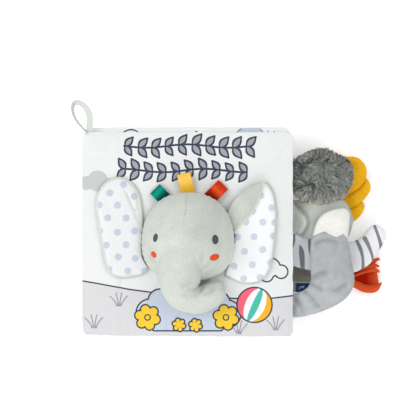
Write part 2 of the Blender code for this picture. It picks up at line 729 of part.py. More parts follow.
def make_right_ear(body):
    """Velour back with its upper corner folded over, and the satin front beside the fold."""
    box = (RIGHT_EAR_LEFT_SIDE, RIGHT_EAR_LOW_SIDE, RIGHT_EAR_WIDTH, RIGHT_EAR_HEIGHT)
    outline = star_outline(RIGHT_EAR_OUTLINE_SHARES, *box)
    top, bottom = ear_heights(HEAD_BASE_Z, EAR_BACK_THICKNESS)
    mesh = pad("right_ear_back", outline, top, bottom, EAR_STATION_SHARES)
    back = add_piece("right_ear_back", mesh, body, VELOUR)
    fold_z = HEAD_BASE_Z + EAR_BACK_THICKNESS - EAR_FOLD_SINK + EAR_FOLD_HALF_HEIGHT
    route = [
        (
            RIGHT_EAR_LEFT_SIDE + RIGHT_EAR_WIDTH * x,
            RIGHT_EAR_LOW_SIDE + RIGHT_EAR_HEIGHT * y,
            fold_z,
        )
        for x, y in EAR_FOLD_ROUTE_SHARES
    ]
    half_widths = [EAR_FOLD_HALF_WIDTH * share for share in EAR_FOLD_WIDTH_SHARES]
    half_heights = [EAR_FOLD_HALF_HEIGHT] * len(route)
    fold = loft("ear_fold", limb_rings(route, half_widths, half_heights, 10), 12)
    cut(back, add_cutter("ear_fold", fold), "UNION")
    front = star_outline(RIGHT_EAR_FRONT_SHARES, *box)
    top, bottom = ear_heights(HEAD_BASE_Z + EAR_BACK_THICKNESS + GAP, EAR_FRONT_THICKNESS)
    mesh = pad("right_ear_front", front, top, bottom, EAR_STATION_SHARES)
    add_piece("right_ear_front", mesh, body, SATIN, 0.4)


def tag_root(place):
    """Where the upper layer of a tag starts, just outside the head's outline."""
    angle = math.radians(place)
    edge = Vector((
        HEAD_X + HEAD_HALF_WIDTH * math.cos(angle) * (1 - HEAD_EGG_SHARE * math.sin(angle)),
        HEAD_Y + HEAD_HALF_HEIGHT * math.sin(angle),
        HEAD_BASE_Z + TAG_LIFT + TAG_HEIGHT / 2,
    ))
    outward = Vector((math.cos(angle), math.sin(angle), 0))
    return edge + outward * TAG_ROOT_GAP


def make_tag(name, body, colour):
    """A folded ribbon: two layers that meet in a round bend at the tip."""
    tag = TAGS[name]
    radius = TAG_HEIGHT / 2
    inner = radius - TAG_THICKNESS
    straight = tag["length"] - radius
    points = [(0.0, -radius)]
    for step in range(TAG_BEND_STEPS + 1):
        angle = -math.pi / 2 + math.pi * step / TAG_BEND_STEPS
        points.append((straight + radius * math.cos(angle), radius * math.sin(angle)))
    points.append((0.0, radius))
    points.append((0.0, inner))
    for step in range(TAG_BEND_STEPS + 1):
        angle = math.pi / 2 - math.pi * step / TAG_BEND_STEPS
        points.append((straight + inner * math.cos(angle), inner * math.sin(angle)))
    points.append((0.0, -inner))
    mesh = flat_solid(name, points, -TAG_WIDTH / 2, TAG_WIDTH / 2)
    turn = math.radians(tag["turn"])
    along_tag = Vector((math.cos(turn), math.sin(turn), 0))
    across_tag = Vector((math.sin(turn), -math.cos(turn), 0))
    root = Vector(body["pivot"]) - Vector((0, 0, radius))
    for vertex in mesh.vertices:
        length, height, width = vertex.co
        vertex.co = root + along_tag * length + across_tag * width + Vector((0, 0, height))
    add_piece(name, mesh, body, colour, 0.35)


def make_loop(body):
    """A ribbon loop, flat on its right side and on edge on its left."""
    root = Vector((LOOP_ROOT_X, LOOP_ROOT_Y, SHEETS["front_cover"]["middle"]))
    route = [(LOOP_WIDTH * x, LOOP_HEIGHT * y, 0.0) for x, y in LOOP_ROUTE_SHARES]
    twists = [(share,) for share in LOOP_TWIST_SHARES]
    cage = bmesh.new()
    loops = []
    for step in range(LOOP_STEPS):
        share = step / LOOP_STEPS
        centre = Vector(along(route, share, closed=True))
        ahead = Vector(along(route, (share + 0.5 / LOOP_STEPS) % 1.0, closed=True))
        behind = Vector(along(route, (share - 0.5 / LOOP_STEPS) % 1.0, closed=True))
        forward = (ahead - behind).normalized()
        sideways = forward.cross(Vector((0, 0, 1)))
        angle = math.pi / 2 * along(twists, share, closed=True)[0]
        wide = sideways * math.cos(angle) + Vector((0, 0, 1)) * math.sin(angle)
        thin = wide.cross(forward)
        loop = []
        for a, b in ((-1, -1), (1, -1), (1, 1), (-1, 1)):
            offset = wide * a * LOOP_RIBBON_WIDTH / 2 + thin * b * LOOP_RIBBON_THICKNESS / 2
            loop.append(cage.verts.new(root + centre + offset))
        loops.append(loop)
    for first, second in zip(loops, loops[1:] + loops[:1]):
        for side in range(4):
            after = (side + 1) % 4
            cage.faces.new((first[side], first[after], second[after], second[side]))
    add_piece("hanging_loop", finish_mesh("hanging_loop", cage), body, RIBBON, 0.6)


def tail_level(leaf, rest):
    """Height of a tail's middle: its leaf's seam at the root, then its rest height."""
    seam = SHEETS[leaf]["middle"]

    def height(x):
        return seam + (rest - seam) * smooth_step((x - TAIL_ROOT_X) / TAIL_LEVEL_RUN)

    return height


def tail_pad(name, leaf, box, shares, rest, half_thickness, stations, floor):
    """A flat stuffed tail that swells between its seams."""
    outline = star_outline(shares, *box)
    middle = tail_level(leaf, rest)

    def fullness(x, reach):
        risen = smooth_step((x - TAIL_ROOT_X) / TAIL_LEVEL_RUN)
        root = TAIL_ROOT_SHARE + (1 - TAIL_ROOT_SHARE) * risen
        return EDGE_THICKNESS / 2 + (half_thickness - EDGE_THICKNESS / 2) * swell(reach) * root

    def top(x, y, reach):
        return middle(x) + fullness(x, reach)

    def bottom(x, y, reach):
        return max(floor, middle(x) - fullness(x, reach))

    return pad(name, outline, top, bottom, stations)


def make_tuft_tail(body):
    """Velour tail with a long-haired tuft on its end."""
    box = (TAIL_ROOT_X, TUFT_BASE_LOW_SIDE, TUFT_BASE_WIDTH, TUFT_BASE_HEIGHT)
    base = tail_pad(
        "tuft_tail_base", "leaf_2", box, TUFT_BASE_SHARES, TUFT_BASE_REST_Z,
        TUFT_BASE_HALF_THICKNESS, TAIL_STATION_SHARES, TUFT_FLOOR_Z,
    )
    add_piece("tuft_tail_base", base, body, VELOUR)
    grown = (
        TAIL_ROOT_X, TUFT_BASE_LOW_SIDE, TUFT_BASE_WIDTH, TUFT_BASE_HEIGHT + 2 * GAP,
    )
    cutter = tail_pad(
        "tuft_base_outside", "leaf_2", grown, TUFT_BASE_SHARES, TUFT_BASE_REST_Z,
        TUFT_BASE_HALF_THICKNESS + 2 * GAP, TAIL_STATION_SHARES, TUFT_FLOOR_Z - 2 * GAP,
    )
    box = (FUR_LEFT_SIDE, FUR_LOW_SIDE, FUR_WIDTH, FUR_HEIGHT)
    fur = tail_pad(
        "tuft_tail_fur", "leaf_2", box, FUR_SHARES, FUR_REST_Z,
        FUR_HALF_THICKNESS, TAIL_STATION_SHARES, TUFT_FLOOR_Z,
    )
    fur = add_piece("tuft_tail_fur", fur, body, (0.22, 0.23, 0.21), 0.95)
    cut(fur, add_cutter("tuft_base_outside", cutter))


def make_striped_tail(body):
    """Flat striped tail that curves up at its end."""
    level_at = tail_level("leaf_2", STRIPED_REST_Z)
    route = []
    for x, y in STRIPED_ROUTE_SHARES:
        place_x = TAIL_ROOT_X + STRIPED_REACH * x
        route.append((place_x, STRIPED_ROOT_Y + STRIPED_RISE * y, level_at(place_x)))
    half_widths = [STRIPED_HALF_WIDTH * share for share in STRIPED_WIDTH_SHARES]
    half_heights = [STRIPED_HALF_HEIGHT] * len(route)
    rings = limb_rings(route, half_widths, half_heights, 18)
    add_piece("striped_tail", loft("striped_tail", rings, 12), body, (0.62, 0.63, 0.67))


def zigzag_solid(name, side):
    """Block on one side of the grey tail's zigzag seam: 1 is the tip's side, -1 the body's."""
    low_x = FORE_X - GREY_WIDTH / 4
    high_x = FORE_X + GREY_WIDTH * 5 / 4
    points = []
    for step in range(2 * GREY_ZIGZAGS + 1):
        share = step / (2 * GREY_ZIGZAGS)
        tooth = GREY_ZIGZAG_HEIGHT / 2 * (1 if step % 2 else -1)
        points.append((low_x + (high_x - low_x) * share, GREY_SEAM_Y + tooth - side * GAP / 2))
    far = GREY_SEAM_Y + side * GREY_HEIGHT
    points += [(high_x, far), (low_x, far)]
    return flat_solid(name, points, 0.0, GREY_TIP_Z + 2 * GREY_HALF_WIDTH)


def make_grey_tail(body):
    """Grey velour tail and its cream tip, parted by a zigzag seam."""
    seam = SHEETS["leaf_1"]["middle"]
    route = []
    for x, y in GREY_ROUTE_SHARES:
        rise = smooth_step(y)
        place_z = seam + (GREY_TIP_Z - seam) * rise
        route.append((TAIL_ROOT_X + GREY_WIDTH * x, GREY_LOW_SIDE + GREY_HEIGHT * y, place_z))
    half_widths = [GREY_HALF_WIDTH * share for share in GREY_WIDTH_SHARES]
    half_heights = [GREY_HALF_HEIGHT * share for share in GREY_HEIGHT_SHARES]
    rings = limb_rings(route, half_widths, half_heights, 22, round_start=False)
    for name, side, colour in (
        ("grey_tail_body", 1, (0.42, 0.44, 0.45)),
        ("grey_tail_tip", -1, (0.85, 0.84, 0.78)),
    ):
        piece = add_piece(name, loft(name, rings, 14), body, colour)
        cut(piece, add_cutter(name + "_seam", zigzag_solid(name + "_seam", side)))


def make_flat_piece(name, body, length, width, middle_y, thickness, colour):
    """A flat strip sewn in the back cover's seam that drops to the table."""
    seam = SHEETS["back_cover"]["middle"]
    cage = bmesh.new()
    steps = 6
    bmesh.ops.create_cube(cage, size=1.0)
    long_edges = [edge for edge in cage.edges if abs(edge.verts[0].co.x - edge.verts[1].co.x) > 0.5]
    bmesh.ops.subdivide_edges(cage, edges=long_edges, cuts=steps, use_grid_fill=True)
    for vertex in cage.verts:
        run = (vertex.co.x + 0.5) * length
        drop = smooth_step(run / FLAT_PIECE_RUN)
        vertex.co = (
            TAIL_ROOT_X + run,
            middle_y + vertex.co.y * width,
            seam + (FLAT_PIECE_REST_Z - seam) * drop + vertex.co.z * thickness,
        )
    add_piece(name, finish_mesh(name, cage), body, colour)


clear_scene()
parts = bpy.data.collections.new("crinkle_cloth_book")
cutters = bpy.data.collections.new("cutters")
bpy.context.scene.collection.children.link(parts)
bpy.context.scene.collection.children.link(cutters)

# The sheets, each hinged on the one below along the spine
book = {}
below = None
for sheet_name, sheet in SHEETS.items():
    hinge_z = sheet["low"] - GAP / 2 if below else 0.0
    hinge_x = SPINE_X if below else 0.0
    book[sheet_name] = add_body(sheet_name, (hinge_x, 0.0, hinge_z), below)
    below = book[sheet_name]
    make_sheet(sheet_name, below)

# The elephant on the front cover
cover = book["front_cover"]
make_head(cover)
trunk_pivot = (
    HEAD_X,
    HEAD_Y - HEAD_HALF_HEIGHT * TRUNK_PIVOT_DROP_SHARE,
    HEAD_BASE_Z + HEAD_RISE * TRUNK_PIVOT_RISE_SHARE,
)
make_trunk(add_body("trunk", trunk_pivot, cover))
ear_axis_z = HEAD_BASE_Z + EDGE_THICKNESS / 2
left_ear_pivot = (LEFT_EAR_RIGHT_SIDE + EAR_AXIS_CLEARANCE, 0.0, ear_axis_z)
make_left_ear(add_body("left_ear", left_ear_pivot, cover))
axis_share_x, axis_share_y = RIGHT_EAR_AXIS_SHARES[0]
right_ear_pivot = (
    RIGHT_EAR_LEFT_SIDE + RIGHT_EAR_WIDTH * axis_share_x,
    RIGHT_EAR_LOW_SIDE + RIGHT_EAR_HEIGHT * axis_share_y,
    ear_axis_z,
)
make_right_ear(add_body("right_ear", right_ear_pivot, cover))
tag_colours = {
    "green_tag": (0.0, 0.16, 0.09),
    "yellow_tag": (0.94, 0.52, 0.04),
    "red_tag": (0.55, 0.03, 0.01),
}
for tag_name, tag_colour in tag_colours.items():
    make_tag(tag_name, add_body(tag_name, tag_root(TAGS[tag_name]["place"]), cover), tag_colour)
loop_root = (LOOP_ROOT_X, LOOP_ROOT_Y, SHEETS["front_cover"]["middle"])
make_loop(add_body("hanging_loop", loop_root, cover))

# The tails at the fore edge
swing_x = TAIL_ROOT_X + TAIL_ROOT_RADIUS
tuft_y = TUFT_BASE_LOW_SIDE + TUFT_BASE_HEIGHT * TUFT_PIVOT_SHARE
make_tuft_tail(add_body("tuft_tail", (swing_x, tuft_y, 0.0), book["leaf_2"]))
make_striped_tail(add_body("striped_tail", (swing_x, STRIPED_ROOT_Y, 0.0), book["leaf_2"]))
scallop_y = SCALLOP_LOW_SIDE + SCALLOP_HEIGHT * SCALLOP_PIVOT_SHARE
scallop_body = add_body("scalloped_tail", (swing_x, scallop_y, 0.0), book["leaf_3"])
scallop_box = (TAIL_ROOT_X, SCALLOP_LOW_SIDE, SCALLOP_WIDTH, SCALLOP_HEIGHT)
scallop_mesh = tail_pad(
    "scalloped_tail", "leaf_3", scallop_box, SCALLOP_SHARES, SCALLOP_REST_Z,
    SCALLOP_HALF_THICKNESS, FLAME_STATION_SHARES, 0.0,
)
add_piece("scalloped_tail", scallop_mesh, scallop_body, (0.87, 0.46, 0.01))
flame_y = FLAME_LOW_SIDE + FLAME_HEIGHT * FLAME_PIVOT_SHARE
flame_body = add_body("flame_tail", (swing_x, flame_y, 0.0), book["leaf_3"])
flame_box = (TAIL_ROOT_X, FLAME_LOW_SIDE, FLAME_WIDTH, FLAME_HEIGHT)
flame_mesh = tail_pad(
    "flame_tail", "leaf_3", flame_box, FLAME_SHARES, FLAME_REST_Z,
    FLAME_HALF_THICKNESS, FLAME_STATION_SHARES, 0.0,
)
add_piece("flame_tail", flame_mesh, flame_body, (0.74, 0.08, 0.02))
grey_root = (
    TAIL_ROOT_X,
    GREY_LOW_SIDE + GREY_HEIGHT * GREY_ROUTE_SHARES[0][1],
    SHEETS["leaf_1"]["middle"] + GREY_HALF_HEIGHT * GREY_HEIGHT_SHARES[0],
)
make_grey_tail(add_body("grey_tail", grey_root, book["leaf_1"]))

# The strap and the label in the back cover's seam
flat_root = (TAIL_ROOT_X + EDGE_THICKNESS, 0.0, SHEETS["back_cover"]["middle"])
make_flat_piece(
    "side_strap", add_body("side_strap", flat_root, book["back_cover"]),
    STRAP_LENGTH, STRAP_WIDTH, STRAP_Y, STRAP_THICKNESS, (0.26, 0.29, 0.25),
)
make_flat_piece(
    "care_label", add_body("care_label", flat_root, book["back_cover"]),
    LABEL_LENGTH, LABEL_WIDTH, LABEL_Y, LABEL_THICKNESS, (0.01, 0.04, 0.11),
)
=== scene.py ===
"""Looks of the crinkle cloth book: cloth, print, velour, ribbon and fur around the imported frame."""

import math

import bmesh
import bpy
import numpy as np
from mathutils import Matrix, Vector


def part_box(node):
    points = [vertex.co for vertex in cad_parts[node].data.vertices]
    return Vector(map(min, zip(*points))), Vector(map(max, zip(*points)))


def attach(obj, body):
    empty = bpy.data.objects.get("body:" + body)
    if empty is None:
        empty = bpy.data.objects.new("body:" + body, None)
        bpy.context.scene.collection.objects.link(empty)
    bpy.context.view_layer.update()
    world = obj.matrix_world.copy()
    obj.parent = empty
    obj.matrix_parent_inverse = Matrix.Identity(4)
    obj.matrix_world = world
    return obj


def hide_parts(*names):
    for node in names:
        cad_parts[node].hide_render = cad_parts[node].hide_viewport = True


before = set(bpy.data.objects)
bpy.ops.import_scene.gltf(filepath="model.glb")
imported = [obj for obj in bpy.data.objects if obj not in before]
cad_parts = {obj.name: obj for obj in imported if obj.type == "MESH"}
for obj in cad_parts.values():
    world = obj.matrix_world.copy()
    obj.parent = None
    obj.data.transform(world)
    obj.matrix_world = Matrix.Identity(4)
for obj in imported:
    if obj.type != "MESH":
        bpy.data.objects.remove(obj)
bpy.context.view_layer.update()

# The table is a plain white sheet. The photographer's camera looks straight down at the
# closed book, and soft boxes stand left and above it.
COVER_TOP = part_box("front_cover_upper_cloth")[1][2]
PIXEL = 0.00094
FRAME_PIXELS = 416
VIEW_CENTRE_X = 0.0193
VIEW_CENTRE_Y = 0.0240
CAMERA_HEIGHT = 2.0
SENSOR = 0.036
MILLIMETRES = 1000
FLOOR_HALF_SIZE = 3.0
FLOOR_COLOUR = (0.92, 0.92, 0.92)
FLOOR_GLOW = 0.30
ROOM_COLOUR = (0.98, 0.99, 1.0, 1.0)
ROOM_LIGHT = 0.60
SOFT_BOX_SIZE = 1.2
SOFT_BOXES = {
    "soft_box_left": ((-1.35, 0.40, 1.45), 15.0),
    "soft_box_right": ((1.2, 0.6, 1.6), 8.6),
    "soft_box_front": ((-0.2, -1.6, 1.35), 13.5),
}


def plain_material(name, colour, roughness=0.8):
    """A Principled material with one colour, and its shader."""
    material = bpy.data.materials.new(name)
    material.use_nodes = True
    shader = material.node_tree.nodes["Principled BSDF"]
    shader.inputs["Base Color"].default_value = (*colour, 1.0)
    shader.inputs["Roughness"].default_value = roughness
    return material, shader


def fill_inputs(owner, node, inputs):
    """Give a node's inputs their values, and link those that are given as sockets."""
    for key, value in dict(inputs).items():
        if isinstance(value, bpy.types.NodeSocket):
            owner.node_tree.links.new(value, node.inputs[key])
        else:
            node.inputs[key].default_value = value


def add_node(owner, kind, inputs=(), **settings):
    """A node in a material or in the world, with its settings and inputs."""
    node = owner.node_tree.nodes.new(kind)
    for key, value in settings.items():
        setattr(node, key, value)
    fill_inputs(owner, node, inputs)
    return node


def maths(owner, operation, *values):
    """The result of a maths node on numbers or sockets."""
    return add_node(owner, "ShaderNodeMath", dict(enumerate(values)), operation=operation).outputs[0]


def rescaled(owner, value, low, high, to_low=0.0, to_high=1.0):
    """A socket's value carried from one range to another and held at its ends."""
    ranges = {"From Min": low, "From Max": high, "To Min": to_low, "To Max": to_high}
    return add_node(owner, "ShaderNodeMapRange", {"Value": value, **ranges}).outputs[0]


camera_data = bpy.data.cameras.new("camera")
camera_data.type = "PERSP"
camera_data.sensor_width = SENSOR * MILLIMETRES
camera_data.lens = SENSOR * CAMERA_HEIGHT / (PIXEL * FRAME_PIXELS) * MILLIMETRES
camera = bpy.data.objects.new("camera", camera_data)
camera.location = (VIEW_CENTRE_X, VIEW_CENTRE_Y, COVER_TOP + CAMERA_HEIGHT)
bpy.context.scene.collection.objects.link(camera)
bpy.context.scene.camera = camera

floor_corners = [
    (x * FLOOR_HALF_SIZE, y * FLOOR_HALF_SIZE, 0) for x, y in ((-1, -1), (1, -1), (1, 1), (-1, 1))
]
floor_mesh = bpy.data.meshes.new("table")
floor_mesh.from_pydata(floor_corners, [], [(0, 1, 2, 3)])
floor = bpy.data.objects.new("table", floor_mesh)
bpy.context.scene.collection.objects.link(floor)
floor_material, floor_shader = plain_material("table_white", FLOOR_COLOUR, 0.9)
rays = add_node(floor_material, "ShaderNodeLightPath").outputs
seen = maths(floor_material, "MAXIMUM", rays["Is Camera Ray"], rays["Is Glossy Ray"])
glow = maths(floor_material, "MULTIPLY", seen, FLOOR_GLOW)
fill_inputs(floor_material, floor_shader, {"Emission Color": (1.0,) * 4, "Emission Strength": glow})
floor_mesh.materials.append(floor_material)

world = bpy.data.worlds.new("soft_room")
world.use_nodes = True
room_ray = add_node(world, "ShaderNodeLightPath").outputs["Is Camera Ray"]
room_strength = rescaled(world, room_ray, 0.0, 1.0, ROOM_LIGHT, 1.0)
room = world.node_tree.nodes["Background"]
fill_inputs(world, room, {"Color": ROOM_COLOUR, "Strength": room_strength})
bpy.context.scene.world = world
for lamp_name, (place, power) in SOFT_BOXES.items():
    lamp_data = bpy.data.lights.new(lamp_name, "AREA")
    lamp_data.size = SOFT_BOX_SIZE
    lamp_data.energy = power
    lamp = bpy.data.objects.new(lamp_name, lamp_data)
    lamp.location = place
    aim = -np.array(place)
    tilt = math.atan2(math.hypot(aim[0], aim[1]), -aim[2])
    lamp.rotation_euler = (tilt, 0, math.atan2(aim[1], aim[0]) - math.pi / 2)
    bpy.context.scene.collection.objects.link(lamp)
bpy.context.scene.view_settings.view_transform = "Standard"

# The five sheets are two printed polyester cloths each, sewn at the rim, turned inside out
# and filled with wadding and a crinkle film. A tape along the spine joins each to the next.
GAP = 0.0003
CLOTH = 0.0006
RIM_SHARE = 0.985
PLATEAU_SHARE = 0.60
SHOULDER_POWER = 0.7
DRAW_IN = 0.0010
CORNER_RADIUS = 0.0055
PUCKER_DEPTH = 0.00110
PUCKER_REACH = 0.010
COVER_WHITE = (0.785, 0.797, 0.790)
EDGE_WAVE = 0.00030
EDGE_WAVE_LENGTH = 0.019
EDGE_WAVE_POWER = 9
WAVE_STRETCHES = (0.6, 1.7)
SHEET_BOWS = {"front_cover": (0.0025, 0.0011), "leaf_1": (0.0, 0.0021)}
BOW_PLACES = (-1.0, -0.6, 0.0, 0.6, 1.0)
NEAR_BOW_SHARES = (0.10, 0.70, 1.00, 0.90, 0.65)
FAR_BOW_SHARES = (0.10, 0.75, 1.00, 0.90, 0.30)
DIP_DEPTH = 0.0011
DIP_LENGTH = 0.070
CREASE_DEPTH = 0.0010
CREASE_SHARPNESS = 2.2
CREASE_PATCH_LENGTH = 0.12
PUCKER_START = 0.0025
PUCKER_LENGTH = 0.0085
SIDE_SEEDS = 7
WADDING_LOOKS = (0.95, 300.0, 0.08)
FILM_LOOKS = (0.25, 90.0, 0.06)
RELIEF_FADE = (4, 1.3)
RELIEF_SHARE = 0.7
MIX_SOCKETS = (0, 6, 7)
MOTTLE_RANGE = (0.3, 0.7)
WAVE_NODE_TURNS = 20
FUZZ_SCALE = 420.0
WEAVE_STRENGTH = 0.6
CLOTH_ROUGHNESS = 0.75
CLOTH_MOTTLE = (60.0, 0.015)
SHEET_CELLS = {"front_cover": 250, "leaf_1": 130}
PLAIN_CELLS = 60
EVENNESS = 0.85
RIM_EVENNESS = {"front_cover": 0.65}
SHEET_ORDER = ("back_cover", "leaf_3", "leaf_2", "leaf_1", "front_cover")
WADDING_COLOUR = (0.86, 0.86, 0.84)
FILM_COLOUR = (0.80, 0.85, 0.88)
FILM_SHARE = 0.80
FILM_THICKNESS = 0.0003
FILM_CRINKLE = 0.00025
FILM_CRINKLE_LENGTH = 0.012
WADDING_CLEARANCE = {"under": 0.0004, "over": 0.0005, "film": 0.0007}
BINDING_DEPTH = 0.0034
BINDING_SHARE = 0.34
COVER_BINDING_SHARE = 0.07
BINDING_END = 0.003
BINDING_PUCKER = 0.0040
BINDING_SWELL = 0.05
BINDING_LEAST = 0.02
BINDING_RINGS = 90
BINDING_SIDES = 24
SMALL = 1e-9


def smooth_step(share):
    """Ease from 0 to 1 with 3t^2 - 2t^3, held at its ends."""
    share = np.clip(share, 0.0, 1.0)
    return share * share * (3 - 2 * share)


def soft_noise(x, y, scale, seed, waves=14, spread=1.6):
    """A sum of sine waves in random directions, each about one scale long, from -1 to 1.

    The sum is divided by the root of the number of waves and by its usual spread.
    """
    draw = np.random.default_rng(seed)
    total = np.zeros_like(x)
    for _ in range(waves):
        turn, phase = draw.uniform(0, math.tau, 2)
        stretch = draw.uniform(*WAVE_STRETCHES)
        run = (x * math.cos(turn) + y * math.sin(turn)) * math.tau * stretch / scale
        total += np.sin(run + phase)
    return total / math.sqrt(waves) / spread


def put_mesh(name, points, faces, uv=None):
    """A mesh object from an array of points and an array of four-sided faces."""
    mesh = bpy.data.meshes.new(name)
    mesh.vertices.add(len(points))
    mesh.vertices.foreach_set("co", np.ascontiguousarray(points, np.float32).ravel())
    mesh.loops.add(faces.size)
    mesh.loops.foreach_set("vertex_index", faces.astype(np.int32).ravel())
    mesh.polygons.add(len(faces))
    mesh.polygons.foreach_set("loop_start", np.arange(len(faces), dtype=np.int32) * faces.shape[1])
    mesh.update(calc_edges=True)
    mesh.polygons.foreach_set("use_smooth", np.ones(len(faces), bool))
    if uv is not None:
        layer = mesh.uv_layers.new(name="UVMap")
        layer.data.foreach_set("uv", uv[faces.ravel()].astype(np.float32).ravel())
    mesh.validate()
    piece = bpy.data.objects.new(name, mesh)
    bpy.context.scene.collection.objects.link(piece)
    return piece


def grid_faces(rows, columns, wrap=False):
    """Corner numbers of the cells of a grid of points, wrapped round its columns or not."""
    last = columns if wrap else columns - 1
    row, column = np.meshgrid(np.arange(rows - 1), np.arange(last), indexing="ij")
    after = (column + 1) % columns
    low, high = row * columns, (row + 1) * columns
    return np.stack([low + column, low + after, high + after, high + column], -1).reshape(-1, 4)


def closed_slab(name, x, y, top, bottom):
    """Two grids of heights over the same places, joined by one strip of faces round the rim."""
    rows, columns = x.shape
    upper = grid_faces(rows, columns)
    count = rows * columns
    number = np.arange(count).reshape(rows, columns)
    rim = np.concatenate([number[0, :-1], number[:-1, -1], number[-1, :0:-1], number[:0:-1, 0]])
    after = np.roll(rim, -1)
    wall = np.stack([rim, rim + count, after + count, after], -1)
    points = np.concatenate([
        np.stack([x, y, top], -1).reshape(-1, 3), np.stack([x, y, bottom], -1).reshape(-1, 3)
    ])
    faces = np.concatenate([upper, upper[:, ::-1] + count, wall])
    uv = np.concatenate([np.stack([x, y], -1).reshape(-1, 2)] * 2)
    return put_mesh(name, points, faces, uv)


def sheet_places(box, count, seed, evenness=EVENNESS, bows=(0.0, 0.0)):
    """A square grid on a rounded rectangle whose long sides draw in a little, its edges uneven.

    Each place holds its x, its y and its reach: 0 in the middle, 1 at the rim. The bows are
    how far the near and the far edge stand out at their middles.
    """
    (left, low), (right, high) = box
    line = np.sin(np.linspace(-1, 1, count) * math.pi / 2 * evenness)
    line /= math.sin(math.pi / 2 * evenness)
    u, v = np.meshgrid(line, line)
    extent = np.maximum(np.maximum(np.abs(u), np.abs(v)), SMALL)
    side_u, side_v = u / extent, v / extent
    half_width, half_height = (right - left) / 2, (high - low) / 2
    x, y = side_u * half_width, side_v * half_height
    over_x = np.abs(x) - half_width + CORNER_RADIUS
    over_y = np.abs(y) - half_height + CORNER_RADIUS
    corner = (over_x > 0) & (over_y > 0)
    pull = CORNER_RADIUS / np.maximum(np.hypot(over_x, over_y), SMALL)
    x = np.where(corner, np.copysign(half_width - CORNER_RADIUS + over_x * pull, x), x)
    y = np.where(corner, np.copysign(half_height - CORNER_RADIUS + over_y * pull, y), y)
    y = y - DRAW_IN * side_v * (1 - side_u ** 2)
    y = y - bows[0] * np.clip(-side_v, 0, 1) ** 3 * np.interp(side_u, BOW_PLACES, NEAR_BOW_SHARES)
    y = y + bows[1] * np.clip(side_v, 0, 1) ** 3 * np.interp(side_u, BOW_PLACES, FAR_BOW_SHARES)
    wave_x = EDGE_WAVE * soft_noise(side_v * half_height, 0 * x, EDGE_WAVE_LENGTH, seed)
    wave_y = EDGE_WAVE * soft_noise(side_u * half_width, 0 * x, EDGE_WAVE_LENGTH, seed + 1)
    x = x + wave_x * np.abs(side_u) ** EDGE_WAVE_POWER
    y = y + wave_y * np.abs(side_v) ** EDGE_WAVE_POWER
    return (left + right) / 2 + extent * x, (low + high) / 2 + extent * y, extent


def crown(reach):
    """Height share of a sewn sheet: flat rim, rounded shoulder, flat middle."""
    slope = np.clip((reach - PLATEAU_SHARE) / (RIM_SHARE - PLATEAU_SHARE), 0.0, 1.0)
    return (1 - slope ** 3) ** SHOULDER_POWER


def cloth_relief(x, y, box, seed):
    """How far a cloth sinks below its crown: broad dips, soft creases and puckers along the seams.

    A crease is one minus the size of a noise, cubed, and a pucker is a noise along the
    nearest seam that fades away from it.
    """
    (left, low), (right, high) = box
    dips = DIP_DEPTH * (0.5 + 0.5 * soft_noise(x, y, DIP_LENGTH, seed))
    fold = 1 - np.abs(soft_noise(x, y, DIP_LENGTH, seed + 1)) * CREASE_SHARPNESS
    creases = CREASE_DEPTH * np.clip(fold, 0, 1) ** 3
    creases *= smooth_step(0.5 + soft_noise(x, y, CREASE_PATCH_LENGTH, seed + 2))
    puckers = np.zeros_like(x)
    for place, away in ((x, y - low), (x, high - y), (y, x - left), (y, right - x)):
        fade = np.exp(-np.abs(away) / PUCKER_REACH) * (1 - np.exp(-np.abs(away) / PUCKER_START))
        side_seed = seed + 3 + int(abs(float(place.ravel()[0])) * MILLIMETRES) % SIDE_SEEDS
        wave = soft_noise(place, np.zeros_like(x), PUCKER_LENGTH, side_seed)
        puckers += fade * PUCKER_DEPTH * (1 + wave)
    return dips + creases + puckers


def object_place(material):
    """The place on the piece, in metres."""
    return add_node(material, "ShaderNodeTexCoord").outputs["Object"]


def attribute_value(material, name):
    """The number that the piece's points store under this name."""
    return add_node(material, "ShaderNodeAttribute", attribute_name=name).outputs["Fac"]


def noise_value(material, place, scale, detail=2.0, **inputs):
    """A noise over the place, scale in waves per metre, from about 0.3 to 0.7."""
    noise = {"Vector": place, "Scale": scale, "Detail": detail, **inputs}
    return add_node(material, "ShaderNodeTexNoise", noise).outputs["Fac"]


def mix_colour(material, share, under, over, blend="MIX"):
    """One colour laid over another by a share; each is a socket or a value."""
    node = add_node(material, "ShaderNodeMix", data_type="RGBA", blend_type=blend)
    for socket, value in zip(MIX_SOCKETS, (share, under, over)):
        fill_inputs(material, node, {socket: (*value, 1.0) if isinstance(value, tuple) else value})
    return node.outputs[2]


def mottled(material, colour, scale, depth, detail=2.0):
    """A colour that varies a little with a soft noise, scale in patches per metre."""
    noise = noise_value(material, object_place(material), scale, detail, Roughness=0.6)
    spread = rescaled(material, noise, *MOTTLE_RANGE)
    if isinstance(colour, tuple):
        darker = tuple(part * (1 - depth) for part in colour)
        lighter = tuple(min(1.0, part * (1 + depth)) for part in colour)
        return mix_colour(material, spread, darker, lighter)
    shade = mix_colour(material, spread, (1 - depth,) * 3, (1.0,) * 3)
    return mix_colour(material, 1.0, colour, shade, "MULTIPLY")


def bump(material, shader, height, distance, strength):
    """Let a height shade the surface as if it stood up by the distance."""
    inputs = {"Height": height, "Distance": distance, "Strength": strength}
    node = add_node(material, "ShaderNodeBump", inputs)
    fill_inputs(material, shader, {"Normal": node.outputs["Normal"]})


